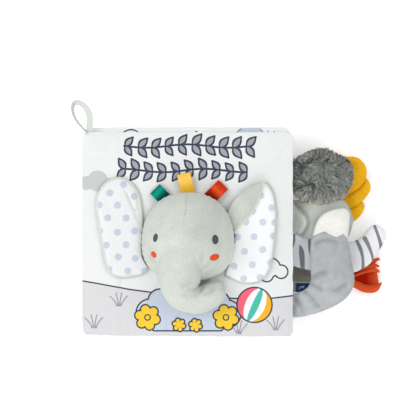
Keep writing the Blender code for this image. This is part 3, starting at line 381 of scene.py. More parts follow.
def weave_bump(material, shader, pitch, depth):
    """Threads over and under each other: two sets of waves at right angles, and a fine noise."""
    place = object_place(material)
    waves = {"Vector": place, "Scale": math.tau / (WAVE_NODE_TURNS * pitch)}
    sets = (add_node(material, "ShaderNodeTexWave", waves, bands_direction=way) for way in "XY")
    threads = maths(material, "MAXIMUM", *(threads.outputs["Fac"] for threads in sets))
    fuzz = noise_value(material, place, FUZZ_SCALE, 3.0)
    bump(material, shader, maths(material, "ADD", threads, fuzz), depth, WEAVE_STRENGTH)


def finish_cloth(material, shader, colour, pitch=0.0005, depth=0.00006, sheen=0.12):
    """Woven cloth: its colour, weave and soft sheen."""
    fill_inputs(material, shader, {
        "Base Color": mottled(material, colour, *CLOTH_MOTTLE),
        "Sheen Weight": sheen, "Sheen Roughness": 0.5, "Specular IOR Level": 0.3,
    })
    weave_bump(material, shader, pitch, depth)


def mottled_material(name, colour, roughness, scale, depth, **inputs):
    """A plain material whose colour varies with a soft noise."""
    material, shader = plain_material(name, colour, roughness)
    fill_inputs(material, shader, {"Base Color": mottled(material, colour, scale, depth), **inputs})
    return material


plain_cloth, plain_shader = plain_material("printed_cloth", COVER_WHITE, CLOTH_ROUGHNESS)
finish_cloth(plain_cloth, plain_shader, COVER_WHITE)
wadding = mottled_material("wadding", WADDING_COLOUR, *WADDING_LOOKS)
film = mottled_material("crinkle_film", FILM_COLOUR, *FILM_LOOKS, **{"Coat Weight": 0.3})


def dress(piece, material, body, node=None):
    """Give a piece its material and its body, and hide the CAD node it stands for."""
    piece.data.materials.append(material)
    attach(piece, body)
    if node:
        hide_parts(node)


def sheet_size(sheet):
    """Outline box, middle height and thickness of a sheet, from its CAD cloths."""
    low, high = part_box(sheet + "_upper_cloth")
    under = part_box(sheet + "_lower_cloth")
    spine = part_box(sheet + "_spine_tape")[0][0] + CLOTH
    box = ((spine, low[1]), (high[0], high[1]))
    return box, (low[2] + under[1][2]) / 2, high[2] - under[0][2]


def cloth_height(x, y, reach, sheet, side):
    """Inner face of a sheet's upper cloth (side 1) or lower cloth (side -1)."""
    box, middle, thickness = sheet_size(sheet)
    rise = thickness / 2 - GAP / 2 - CLOTH
    seed = 10 * SHEET_ORDER.index(sheet) + (0 if side > 0 else 5)
    deepest = rise * RELIEF_SHARE
    rim_fade, fade_limit = RELIEF_FADE
    fade = np.minimum(smooth_step(crown(reach) * rim_fade), crown(reach) * fade_limit)
    relief = deepest * np.tanh(cloth_relief(x, y, box, seed) / deepest) * fade
    if sheet == "back_cover" and side < 0:
        relief = 0
    return middle + side * (GAP / 2 + rise * crown(reach) - relief)


def make_sheet(sheet):
    """Two cloths, the wadding and the crinkle film of one sheet."""
    box = sheet_size(sheet)[0]
    edge_seed = 60 + 2 * SHEET_ORDER.index(sheet)
    pieces = {}
    for side, part in ((1, "upper"), (-1, "lower")):
        count = SHEET_CELLS.get(sheet, PLAIN_CELLS) if side > 0 else PLAIN_CELLS
        evenness = RIM_EVENNESS.get(sheet, EVENNESS) if side > 0 else EVENNESS
        bows = SHEET_BOWS.get(sheet, (0.0, 0.0))
        x, y, reach = sheet_places(box, count, edge_seed, evenness, bows)
        inner = cloth_height(x, y, reach, sheet, side)
        outer = inner + side * CLOTH
        name = f"{sheet}_{part}_panel"
        cloth = closed_slab(name, x, y, np.maximum(inner, outer), np.minimum(inner, outer))
        dress(cloth, plain_cloth, sheet, f"{sheet}_{part}_cloth")
        pieces[part] = (cloth, x, y)
    x, y, reach = sheet_places(box, PLAIN_CELLS, edge_seed)
    centre_x, centre_y = (box[0][0] + box[1][0]) / 2, (box[0][1] + box[1][1]) / 2
    x, y = centre_x + (x - centre_x) * FILM_SHARE, centre_y + (y - centre_y) * FILM_SHARE
    reach = reach * FILM_SHARE
    crinkle = FILM_CRINKLE * (1 + np.abs(soft_noise(x, y, FILM_CRINKLE_LENGTH, 77)))
    under = cloth_height(x, y, reach, sheet, -1) + WADDING_CLEARANCE["under"]
    over = cloth_height(x, y, reach, sheet, 1) - WADDING_CLEARANCE["over"]
    film_low = under + crinkle
    fill = closed_slab(f"{sheet}_wadding", x, y, over, film_low + WADDING_CLEARANCE["film"])
    dress(fill, wadding, sheet, f"{sheet}_batting")
    leaf_film = closed_slab(f"{sheet}_film", x, y, film_low + FILM_THICKNESS, film_low)
    dress(leaf_film, film, sheet, f"{sheet}_crinkle_film")
    return pieces


def face_outwards(piece, ends=()):
    """Close a piece with a face over each list of points, and turn all its faces outwards."""
    cage = bmesh.new()
    cage.from_mesh(piece.data)
    cage.verts.ensure_lookup_table()
    for ring in ends:
        cage.faces.new([cage.verts[number] for number in ring])
    bmesh.ops.recalc_face_normals(cage, faces=cage.faces[:])
    cage.to_mesh(piece.data)
    cage.free()
    piece.data.polygons.foreach_set("use_smooth", np.ones(len(piece.data.polygons), bool))


def ring_angles(sides):
    """Even directions round a ring."""
    return np.linspace(0, math.tau, sides + 1)[:-1]


def tube_piece(name, points, uv=None, clockwise=False):
    """A closed tube from rings of points: an array of rings, sides and places."""
    rows, columns = points.shape[:2]
    faces = grid_faces(rows, columns, wrap=True)
    piece = put_mesh(name, points.reshape(-1, 3), faces[:, ::-1] if clockwise else faces, uv)
    face_outwards(piece, (range(columns), range((rows - 1) * columns, rows * columns)))
    return piece


def spine_binding(sheet):
    """A folded tape along the spine: half an ellipse across, carried along the edge."""
    _, middle, thickness = sheet_size(sheet)
    tape_low, tape_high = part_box(sheet + "_spine_tape")
    share = COVER_BINDING_SHARE if sheet == "front_cover" else BINDING_SHARE
    start, stop = tape_low[1] + CORNER_RADIUS, tape_high[1] - CORNER_RADIUS
    along = np.linspace(start, stop, BINDING_RINGS)
    place, angle = np.meshgrid(along, ring_angles(BINDING_SIDES), indexing="ij")
    to_end = np.minimum(place - along[0], along[-1] - place)
    end = np.sqrt(np.clip(to_end / BINDING_END, BINDING_LEAST, 1))
    swell = 1 + BINDING_SWELL * np.sin(place / BINDING_PUCKER * math.pi)
    x = tape_low[0] + BINDING_DEPTH * (0.5 - 0.5 * np.cos(angle) * end)
    z = middle + thickness * share * np.sin(angle) * end * swell
    points = np.stack([x, place, z], -1)
    binding = tube_piece(f"{sheet}_spine_binding", points, clockwise=True)
    dress(binding, plain_cloth, sheet, sheet + "_spine_tape")
    return binding, points


panels = {sheet: make_sheet(sheet) for sheet in SHEET_ORDER}
bindings = {sheet: spine_binding(sheet) for sheet in SHEET_ORDER}

# The front cover's print is dyed into its upper cloth: hills, clouds, two rows of leaves,
# a bush with daisies and a striped ball, each with a dark drawn line. Each colour is a
# field on the cloth that is above zero where the colour lies.
HILL_PIXELS = (
    (76, 280), (100, 284), (130, 289.5), (160, 293.5), (200, 297), (235, 298.5), (270, 298.5),
    (300, 295),
)
LEAF_ROW_PIXELS = {"left": 124.0, "right": 247.0, "upper": 146.0, "lower": 170.5}
LEAF_LENGTH = 0.0122
LEAF_HALF_WIDTH = 0.0032
LEAF_STEP = 0.0127
LEAF_POWER = 0.85
LEAF_LEAN = math.radians(52)
LEAF_LEAN_SPREAD = 0.12
LEAF_SIZES = (0.88, 1.06)
FIRST_LEAF = 0.001
STEM_WAVE = 0.0016
STEM_WAVES = 1.5
INK_HALF_WIDTH = 0.00070
LEAF_INK_HALF_WIDTH = 0.00098
GRASS_HALF_WIDTH = 0.00056
GREY_CLOUD_PIXELS = ((86, 183, 7.0), (97.5, 181, 10.6), (109, 184.5, 6.5))
LINE_CLOUD_PIXELS = ((271.0, 267.5, 9.3), (281.3, 271.8, 6.7), (266.8, 275.2, 6.6), (262.0, 270.0, 8.0))
BUSH_PIXELS = (
    (150, 313, 14), (160, 301, 12), (175, 296, 13), (190, 294, 13), (205, 297, 13), (218, 303, 12),
    (227, 314, 14), (165, 320, 16), (188, 318, 20), (210, 320, 16),
)
BUSH_BASE = 331.0
DAISY_PIXELS = ((147.5, 317.5, 8.2), (226.0, 317.5, 8.2), (179.0, 325.0, 4.4), (195.5, 325.4, 4.4))
DAISY_PETALS = 6
DAISY_SHARES = {"petal": 0.60, "middle": 0.8, "heart": 0.34}
DAISY_HEART_FROM = 5.0
BALL_PIXELS = (254.5, 305.0, 17.6)
BALL_TURN = math.radians(-24)
BALL_BAND_SHARES = {"pink": (-1.0, -0.52), "teal": (-0.14, 0.26), "amber": (0.60, 1.0)}
GRASS_PIXELS = ((119, 306), (94, 328), (239, 334), (276, 330))
GRASS_LEANS = (-0.0086, -0.0030, 0.0026, 0.0080)
GRASS_HEIGHT = 0.0140
GRASS_DROOP = 0.55
GRASS_BEND = 1.6
GRASS_POINTS = 9
GRASS_FOOT_SHARE = 0.25
DARK_LEAF = {"pixel": (139.6, 248.2), "turn": math.radians(84), "length": 0.0085, "half": 0.0019}
STONE = {"pixel": (204.2, 281.6), "half": (0.0064, 0.0036), "turn": math.radians(16)}
INK = (0.030, 0.050, 0.080)
BUSH_BLUE = (0.560, 0.615, 0.720)
FLOWER_YELLOW = (0.900, 0.590, 0.030)
PRINT_BLUR = 0.00006
FAR_OFF = 0.01
PRINT_COLOURS = {
    "ground": ((0.668, 0.660, 0.672), INK_HALF_WIDTH),
    "grass": ((0.300, 0.310, 0.345), 0.0),
    "cloud": ((0.535, 0.562, 0.552), 0.0),
    "line_cloud": (COVER_WHITE, INK_HALF_WIDTH),
    "bush": (BUSH_BLUE, INK_HALF_WIDTH),
    # The stone's blue-grey is printed, but made lighter than the print as painted light against the
    # shade beside the trunk.
    "stone": ((0.480, 0.540, 0.660), 0.0),
    "daisy": (FLOWER_YELLOW, INK_HALF_WIDTH),
    "heart": (FLOWER_YELLOW, 0.0006),
    "ball": ((0.900, 0.910, 0.910), 0.0),
    "pink": ((0.920, 0.125, 0.185), 0.0),
    "teal": ((0.065, 0.500, 0.390), 0.0),
    "amber": ((0.910, 0.440, 0.010), 0.0),
    "ball_rim": (INK, 0.0),
    "stem": (INK, 0.0),
    "dark_leaf": (INK, 0.0),
    "leaf": ((0.370, 0.345, 0.390), LEAF_INK_HALF_WIDTH),
}


def spot(pixel_x, pixel_y):
    """The place on the cover under a pixel of the photographer's frame."""
    middle = FRAME_PIXELS / 2
    return VIEW_CENTRE_X + (pixel_x - middle) * PIXEL, VIEW_CENTRE_Y + (middle - pixel_y) * PIXEL


def spot_x(pixel):
    """How far right on the cover a pixel's column lies."""
    return spot(pixel, 0)[0]


def spot_y(pixel):
    """How far back on the cover a pixel's row lies."""
    return spot(0, pixel)[1]


def line_distance(x, y, route):
    """Distance from each place to a line through the route's points."""
    best = np.full(x.shape, FAR_OFF)
    for (start_x, start_y), (end_x, end_y) in zip(route, route[1:]):
        run_x, run_y = end_x - start_x, end_y - start_y
        share = ((x - start_x) * run_x + (y - start_y) * run_y) / (run_x ** 2 + run_y ** 2)
        share = np.clip(share, 0, 1)
        best = np.minimum(best, np.hypot(x - start_x - share * run_x, y - start_y - share * run_y))
    return best


def round_patches(x, y, discs):
    """How far inside a group of discs each place lies: the largest of radius less distance."""
    inside = np.full(x.shape, -FAR_OFF)
    for pixel_x, pixel_y, radius in discs:
        centre_x, centre_y = spot(pixel_x, pixel_y)
        inside = np.maximum(inside, radius * PIXEL - np.hypot(x - centre_x, y - centre_y))
    return inside


def turned_place(x, y, centre, turn):
    """How far each place lies from a centre along a direction, and to its left."""
    off_x, off_y = x - centre[0], y - centre[1]
    along = off_x * math.cos(turn) + off_y * math.sin(turn)
    return along, off_y * math.cos(turn) - off_x * math.sin(turn)


def leaf_shape(x, y, root, turn, length, half_width):
    """How far inside a leaf each place lies: its half width follows a sine along its length."""
    run, away = turned_place(x, y, root, turn)
    away = np.abs(away)
    share = np.clip(run / length, 0, 1)
    inside = half_width * np.sin(math.pi * share ** LEAF_POWER) - away
    past = np.maximum(-run, run - length)
    return np.where(past > 0, -np.hypot(past, away), inside)


def leafy_row(x, y, pixel_y, lean, seed):
    """A stem in a gentle wave with leaves that stand off it in turn, up and down."""
    draw = np.random.default_rng(seed)
    left_x, middle_y = spot(LEAF_ROW_PIXELS["left"], pixel_y)
    right_x = spot(LEAF_ROW_PIXELS["right"], pixel_y)[0]
    stem_x = np.linspace(left_x, right_x, 50)
    run = (stem_x - left_x) / (right_x - left_x)
    stem_y = middle_y + STEM_WAVE * np.sin(run * math.tau * STEM_WAVES + seed)
    leaves = np.full(x.shape, -FAR_OFF)
    for number in range(int((right_x - left_x) / LEAF_STEP) + 1):
        root_x = left_x + LEAF_STEP * number + FIRST_LEAF
        root = (root_x, np.interp(root_x, stem_x, stem_y))
        size = draw.uniform(*LEAF_SIZES)
        for way in (1, -1):
            stray = draw.uniform(-LEAF_LEAN_SPREAD, LEAF_LEAN_SPREAD)
            turn = way * (LEAF_LEAN + stray) * lean + (0 if lean > 0 else math.pi)
            leaf = leaf_shape(x, y, root, turn, LEAF_LENGTH * size, LEAF_HALF_WIDTH * size)
            leaves = np.maximum(leaves, leaf)
    return leaves, line_distance(x, y, list(zip(stem_x, stem_y)))


def daisies(x, y):
    """The petals of all the daisies, and the hearts of the larger ones."""
    daisy, heart = np.full(x.shape, -FAR_OFF), np.full(x.shape, -FAR_OFF)
    for pixel_x, pixel_y, reach in DAISY_PIXELS:
        discs = [(pixel_x, pixel_y, reach * DAISY_SHARES["middle"])]
        for number in range(DAISY_PETALS):
            turn = math.tau * (number + 0.25) / DAISY_PETALS
            petal_x, petal_y = pixel_x + reach * math.cos(turn), pixel_y + reach * math.sin(turn)
            discs.append((petal_x, petal_y, reach * DAISY_SHARES["petal"]))
        daisy = np.maximum(daisy, round_patches(x, y, discs))
        if reach > DAISY_HEART_FROM:
            middle = (pixel_x, pixel_y, reach * DAISY_SHARES["heart"])
            heart = np.maximum(heart, round_patches(x, y, [middle]))
    return daisy, heart


def ball_bands(x, y):
    """The ball, and bands on it whose edges are shares of its half width at each level."""
    ball = round_patches(x, y, [BALL_PIXELS])
    across, along = turned_place(x, y, spot(*BALL_PIXELS[:2]), BALL_TURN)
    radius = BALL_PIXELS[2] * PIXEL
    width = np.sqrt(np.clip(1 - (along / radius) ** 2, 0.01, 1))
    bands = {"ball": ball, "ball_rim": INK_HALF_WIDTH - np.abs(ball)}
    for colour, (start, end) in BALL_BAND_SHARES.items():
        band = np.minimum(across - radius * width * start, radius * width * end - across)
        bands[colour] = np.minimum(band, ball)
    return bands


def grass_blades(x, y):
    """Distance to the nearest blade of grass; the blades of a tuft lean away from its foot."""
    nearest = np.full(x.shape, FAR_OFF)
    share = np.linspace(0, 1, GRASS_POINTS)
    leaning = GRASS_FOOT_SHARE + (1 - GRASS_FOOT_SHARE) * share ** GRASS_BEND
    for pixel in GRASS_PIXELS:
        foot_x, foot_y = spot(*pixel)
        for lean in GRASS_LEANS:
            blade_x = foot_x + lean * leaning
            blade_y = foot_y + (GRASS_HEIGHT - abs(lean) * GRASS_DROOP) * share
            nearest = np.minimum(nearest, line_distance(x, y, list(zip(blade_x, blade_y))))
    return nearest


def print_fields(x, y):
    """The fields of the front cover's print, one for each colour and two for the lines."""
    hill_x, hill_y = np.array([spot(*place) for place in HILL_PIXELS]).T
    stone_along, stone_away = turned_place(x, y, spot(*STONE["pixel"]), STONE["turn"])
    stone_reach = np.hypot(stone_along / STONE["half"][0], stone_away / STONE["half"][1])
    daisy, heart = daisies(x, y)
    upper, upper_stem = leafy_row(x, y, LEAF_ROW_PIXELS["upper"], 1, 3)
    lower, lower_stem = leafy_row(x, y, LEAF_ROW_PIXELS["lower"], -1, 8)
    dark_leaf = (spot(*DARK_LEAF["pixel"]), DARK_LEAF["turn"], DARK_LEAF["length"], DARK_LEAF["half"])
    return {
        "ground": np.interp(x, hill_x, hill_y) - y,
        "cloud": round_patches(x, y, GREY_CLOUD_PIXELS),
        "line_cloud": round_patches(x, y, LINE_CLOUD_PIXELS),
        "bush": np.minimum(round_patches(x, y, BUSH_PIXELS), y - spot_y(BUSH_BASE)),
        "stone": (1 - stone_reach) * STONE["half"][1],
        "heart": heart,
        "daisy": daisy,
        **ball_bands(x, y),
        "leaf": np.maximum(upper, lower),
        "dark_leaf": leaf_shape(x, y, *dark_leaf),
        "stem": LEAF_INK_HALF_WIDTH - np.minimum(upper_stem, lower_stem),
        "grass": GRASS_HALF_WIDTH - grass_blades(x, y),
    }


def print_layer(material, name, under, colour, line_half_width=0.0, blur=PRINT_BLUR):
    """One printed colour laid where its field is above zero, and a dark line along its edge."""
    field = attribute_value(material, name)
    laid = mix_colour(material, rescaled(material, field, -blur, blur), under, colour)
    if not line_half_width:
        return laid
    away = maths(material, "ABSOLUTE", field)
    line = rescaled(material, away, line_half_width + blur, line_half_width - blur)
    return mix_colour(material, line, laid, INK)


def put_field(piece, name, values):
    """Store a number on each of a piece's points; both sides of a slab get the same ones."""
    values = np.ascontiguousarray(values, np.float32).ravel()
    attribute = piece.data.attributes.new(name, "FLOAT", "POINT")
    attribute.data.foreach_set("value", np.tile(values, len(piece.data.vertices) // len(values)))


cover_cloth, cover_x, cover_y = panels["front_cover"]["upper"]
cover_binding, binding_points = bindings["front_cover"]
for piece, x, y in (
    (cover_cloth, cover_x, cover_y), (cover_binding, binding_points[..., 0], binding_points[..., 1])
):
    for field_name, field in print_fields(x, y).items():
        put_field(piece, "print_" + field_name, field)
cover_print, cover_shader = plain_material("cover_print", COVER_WHITE, CLOTH_ROUGHNESS)
layer = COVER_WHITE
for colour_name, (print_colour, line_half_width) in PRINT_COLOURS.items():
    layer = print_layer(cover_print, "print_" + colour_name, layer, print_colour, line_half_width)
finish_cloth(cover_print, cover_shader, layer)
cover_cloth.data.materials[0] = cover_print
cover_binding.data.materials[0] = cover_print

# The first leaf's own print shows where it stands out above the cover: the top of a
# cloud, the flat roof of a hut and a few dots.
# The leaf's white is a little bluer than the cover's, as its own tint, and lighter, as painted light
# against the cover's shadow.
LEAF_WHITE = (0.900, 0.918, 0.926)
LEAF_CLOUD_PIXELS = ((130.6, 140.6, 11.4),)
SPECK_PIXELS = ((196.0, 131.4, 1.3), (268.4, 131.0, 0.8), (274.6, 131.2, 0.8))
ROOF_COLUMNS = (235.8, 265.4)
ROOF_ROWS = (127.6, 132.6)
ROOF_END = 0.0015
leaf_cloth, leaf_x, leaf_y = panels["leaf_1"]["upper"]
roof_left, roof_right = map(spot_x, ROOF_COLUMNS)
roof_top, roof_low = map(spot_y, ROOF_ROWS)
roof_slant = np.minimum(leaf_x - roof_left, roof_right - leaf_x) - (leaf_y - roof_low)
roof = np.minimum.reduce([roof_slant, roof_top - leaf_y, leaf_y - roof_low])
leaf_cloud = round_patches(leaf_x, leaf_y, LEAF_CLOUD_PIXELS)
leaf_print, leaf_shader = plain_material("leaf_print", LEAF_WHITE, CLOTH_ROUGHNESS)
layer = LEAF_WHITE
for field_name, colour, field in (
    ("roof", BUSH_BLUE, roof),
    ("roof_end", INK, np.minimum(roof, ROOF_END - roof_slant)),
    ("cloud_line", INK, INK_HALF_WIDTH - np.abs(leaf_cloud)),
    ("speck", INK, round_patches(leaf_x, leaf_y, SPECK_PIXELS)),
):
    put_field(leaf_cloth, "print_" + field_name, field)
    layer = print_layer(leaf_print, "print_" + field_name, layer, colour)
finish_cloth(leaf_print, leaf_shader, layer)
leaf_cloth.data.materials[0] = leaf_print

# The head is grey-green velour: two halves joined by a seam down the crown, stuffed with
# fibre and sewn to the cover round its rim.
VELOUR = (0.645, 0.680, 0.624)
HEAD_LOW, HEAD_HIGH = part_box("head_skin")
HEAD_X = (HEAD_LOW[0] + HEAD_HIGH[0]) / 2
HEAD_Y = (HEAD_LOW[1] + HEAD_HIGH[1]) / 2
HEAD_HALF_WIDTH = (HEAD_HIGH[0] - HEAD_LOW[0]) / 2
HEAD_HALF_HEIGHT = (HEAD_HIGH[1] - HEAD_LOW[1]) / 2
HEAD_BASE = HEAD_LOW[2]
HEAD_RISE = HEAD_HIGH[2] - HEAD_LOW[2]
HEAD_EGG_SHARE = 0.08
HEAD_ROUNDNESS = 2.33
HEAD_FULLNESS = 0.9
CROWN_SEAM_DEPTH = 0.0009
CROWN_SEAM_HALF_WIDTH = 0.0011
CROWN_SEAM_END_PIXEL = 222.0
RIM_PUCKERS = 46
RIM_PUCKER_SHARE = 0.008
RIM_PUCKER_FROM = 1.25
HEAD_SIDES = 240
HEAD_RINGS = 120
FACE_CREASES = (
    ((203.5, 276.5), (208.5, 272.6), (214.0, 269.0)), ((202.0, 268.0), (206.0, 266.0), (211.0, 262.0)),
    ((157.0, 263.0), (153.6, 259.6), (150.6, 255.6)), ((201.6, 262.0), (203.0, 257.6), (203.4, 253.0)),
)
FACE_CREASE_DEPTH = 0.0009
FACE_CREASE_WIDTH = 0.0026
CROWN_SEAM_LEAN = 0.0016
CROWN_SEAM_LEAN_OVER = 0.03
HEAD_RELIEF_FROM = 0.02
FACE_CREASE_SHADE = 0.10
FACE_SHADE_WIDTH = 0.0020
SEAM_FADE = 0.010
GATHERS = {"depth": 0.00022, "slant": 0.6, "length": 0.0042, "reach": 0.0045}
HEAD_LUMPS = ((0.0006, 0.045, 21), (0.0002, 0.016, 22))
HEAD_SINK = 0.0006
# Painted shade over the brow and painted light on the head's right side, as the lamps fall on it.
BROW_SHADE = {"pixel": (202.0, 234.0), "depth": 0.13, "half": (0.017, 0.016)}
LIT_SIDE = {"column": 217, "rise": 0.10, "fade": 0.008}
FIBRE_SHARE = 0.955
FIBRE_LIFT = 0.0004
VELOUR_CLOUDS = (70.0, 0.050)
VELOUR_GRAIN = (900.0, 0.15, 1.0)
PILE_SCALES = (1500.0, 380.0)
PILE_DEPTH = 0.00025
CREASE_POINTS = 12
INNERMOST = 0.02


def velour_material(name, colour, pile=1.0, roughness=0.85):
    """Short pile: clouds of lighter and darker nap, a fine grain and a strong sheen.

    A piece's attribute of tone and painted light, 0 where there is none, makes the pile lighter
    or darker by that share: painted light and shade, and on the grey tail a random drift of tone.
    """
    material, shader = plain_material(name, colour, roughness)
    grain = mottled(material, mottled(material, colour, *VELOUR_CLOUDS), *VELOUR_GRAIN)
    light = maths(material, "ADD", attribute_value(material, "tone_and_painted_light"), 1.0)
    tone_and_painted_light = {"Vector": grain, "Scale": light}
    fill_inputs(material, shader, {
        "Base Color": add_node(material, "ShaderNodeVectorMath", tone_and_painted_light, operation="SCALE").outputs[0],
        "Sheen Weight": 0.30, "Sheen Roughness": 0.45,
        "Sheen Tint": (*(part ** 0.5 for part in colour), 1.0),
        "Specular IOR Level": 0.10,
    })
    place = object_place(material)
    pile_noise = (noise_value(material, place, scale) for scale in PILE_SCALES)
    bump(material, shader, maths(material, "ADD", *pile_noise), PILE_DEPTH * pile, 0.5)
    return material


def bell(away, width):
    """A bell curve of a distance: 1 at none, 0.37 at the width."""
    return np.exp(-((away / width) ** 2))


def fullness(reach, power, root=0.5):
    """How full a pad is between its middle and its rim: (1 - reach^power)^root."""
    return np.clip(1 - reach ** power, 0, 1) ** root


def unit(vectors):
    """Vectors of the same directions and of length 1."""
    return vectors / np.linalg.norm(vectors, axis=-1, keepdims=True)


def layered_noise(x, y, layers):
    """The sum of some soft noises, each given by its height, scale and seed."""
    return sum(height * soft_noise(x, y, scale, seed) for height, scale, seed in layers)


def smooth_path(points, count, closed=False):
    """Places along a smooth curve through the points, by cubic pieces between each pair."""
    points = np.asarray(points, float)
    spans = len(points) if closed else len(points) - 1
    step = np.linspace(0, spans, count, endpoint=not closed)
    index = np.minimum(step.astype(int), spans - 1)
    share = (step - index)[:, None]

    def corner(offset):
        place = index + offset
        place = place % len(points) if closed else np.clip(place, 0, len(points) - 1)
        return points[place]

    before, start, end, after = corner(-1), corner(0), corner(1), corner(2)
    return 0.5 * (
        2 * start + (end - before) * share
        + (2 * before - 5 * start + 4 * end - after) * share ** 2
        + (3 * start - before - 3 * end + after) * share ** 3
    )


def pixel_path(pixels, count, closed=False):
    """A smooth curve on the cover through places given in pixels."""
    return smooth_path([spot(*pixel) for pixel in pixels], count, closed)


def travelled_along(path):
    """How far along a path each of its points lies."""
    return np.concatenate([[0], np.cumsum(np.linalg.norm(np.diff(path, axis=0), axis=1))])


def line_side(x, y, line):
    """Distance to an open line, and 1 on its left side or -1 on its right."""
    away = np.full_like(x, np.inf)
    side = np.ones_like(x)
    for start, end in zip(line[:-1], line[1:]):
        run = end - start
        off_x, off_y = x - start[0], y - start[1]
        share = np.clip((off_x * run[0] + off_y * run[1]) / run.dot(run), 0, 1)
        here = np.hypot(off_x - share * run[0], off_y - share * run[1])
        hand = np.where(run[0] * off_y - run[1] * off_x > 0, 1.0, -1.0)
        side = np.where(here < away, hand, side)
        away = np.minimum(away, here)
    return away, side


def crease_depth(x, y, lines, width):
    """How deep the nearest of some pixel lines cuts: one at the line, fading as a bell curve."""
    depth = np.zeros_like(x)
    for line in lines:
        away = line_side(x, y, pixel_path(line, CREASE_POINTS))[0]
        depth = np.maximum(depth, bell(away, width))
    return depth


def head_height(x, y):
    """Height of the head's outside: a full half egg with soft lumps and a groove at its crown seam.

    The reach is (|a|^n + |b|^n)^(1/n), and the dome is the rise times (1 - reach^2)^0.45.
    """
    b = (y - HEAD_Y) / HEAD_HALF_HEIGHT
    a = (x - HEAD_X) / (HEAD_HALF_WIDTH * (1 - HEAD_EGG_SHARE * b))
    reach = (np.abs(a) ** HEAD_ROUNDNESS + np.abs(b) ** HEAD_ROUNDNESS) ** (1 / HEAD_ROUNDNESS)
    dome = HEAD_RISE * fullness(reach, 2, HEAD_FULLNESS / 2)
    leaning = smooth_step((HEAD_Y + HEAD_HALF_HEIGHT - y) / CROWN_SEAM_LEAN_OVER)
    away = x - (HEAD_X - CROWN_SEAM_LEAN * leaning)
    above_end = smooth_step((y - spot_y(CROWN_SEAM_END_PIXEL)) / SEAM_FADE)
    groove = CROWN_SEAM_DEPTH * (bell(away, CROWN_SEAM_HALF_WIDTH) * above_end)
    run = (y + GATHERS["slant"] * np.abs(away)) / GATHERS["length"] * math.tau
    gathers = GATHERS["depth"] * np.sin(run) * np.exp(-np.abs(away) / GATHERS["reach"]) * above_end
    creases = FACE_CREASE_DEPTH * crease_depth(x, y, FACE_CREASES, FACE_CREASE_WIDTH)
    relief = layered_noise(x, y, HEAD_LUMPS) + gathers - creases - HEAD_SINK
    return HEAD_BASE + dome + relief * smooth_step(dome / HEAD_RELIEF_FROM) - groove


velour = velour_material("head_velour", VELOUR)
turn, tilt = np.meshgrid(ring_angles(HEAD_SIDES), np.linspace(INNERMOST, math.pi / 2, HEAD_RINGS))
near_rim = smooth_step((tilt - RIM_PUCKER_FROM) / 0.3)
pucker = 1 - RIM_PUCKER_SHARE * (1 + np.sin(RIM_PUCKERS * turn)) * near_rim
fuller = sum(np.abs(part) ** HEAD_ROUNDNESS for part in (np.cos(turn), np.sin(turn)))
fuller = fuller ** (-1 / HEAD_ROUNDNESS)
head_b = fuller * pucker * np.sin(tilt) * np.sin(turn)
head_width = HEAD_HALF_WIDTH * (1 - HEAD_EGG_SHARE * head_b)
head_x = HEAD_X + head_width * fuller * pucker * np.sin(tilt) * np.cos(turn)
head_y = HEAD_Y + HEAD_HALF_HEIGHT * head_b
dome_z = head_height(head_x, head_y)
dome_z[-1] = HEAD_BASE
head = tube_piece("head_velour_skin", np.stack([head_x, head_y, dome_z], -1))
# Painted light and shade on the head's velour: painted shade over the brow, painted light on its right
# side, painted shade along the face's creases.
brow_x, brow_y = spot(*BROW_SHADE["pixel"])
brow_half_x, brow_half_y = BROW_SHADE["half"]
brow_reach = -((head_x - brow_x) / brow_half_x) ** 2 - ((head_y - brow_y) / brow_half_y) ** 2
head_painted_light = -BROW_SHADE["depth"] * np.exp(brow_reach)
lit_side = smooth_step((head_x - spot_x(LIT_SIDE["column"])) / LIT_SIDE["fade"])
head_painted_light += LIT_SIDE["rise"] * lit_side
head_painted_light -= FACE_CREASE_SHADE * crease_depth(head_x, head_y, FACE_CREASES, FACE_SHADE_WIDTH)
put_field(head, "tone_and_painted_light", head_painted_light)
dress(head, velour, "front_cover", "head_skin")

fibre = tube_piece("head_fibre", np.stack([
    HEAD_X + (head_x - HEAD_X) * FIBRE_SHARE,
    HEAD_Y + (head_y - HEAD_Y) * FIBRE_SHARE,
    HEAD_BASE + FIBRE_LIFT + (dome_z - HEAD_BASE) * FIBRE_SHARE,
], -1)[::3, ::3])
dress(fibre, wadding, "front_cover", "head_stuffing")

# The seams of the head are sewn with a thread a little darker than the velour.
CROWN_SEAM = ((187.4, 193.4), (187.2, 200.0), (186.2, 209.0), (184.6, 216.0), (183.6, 222.0))
TRUNK_SEAM = (
    (159.6, 263.0), (162.6, 255.4), (169.6, 250.2), (181.0, 248.0), (192.0, 249.6), (199.0, 254.8),
    (201.9, 261.5),
)
SEAM_THREAD = (0.430, 0.460, 0.405)
SEAM_THREAD_LOOKS = (0.6, 2400.0, 0.25)
SEAM_POINTS = 400
BAR_SIDES = 6
BAR_END_SHARE = 0.35
BAR_FULL_SHARE = 0.7


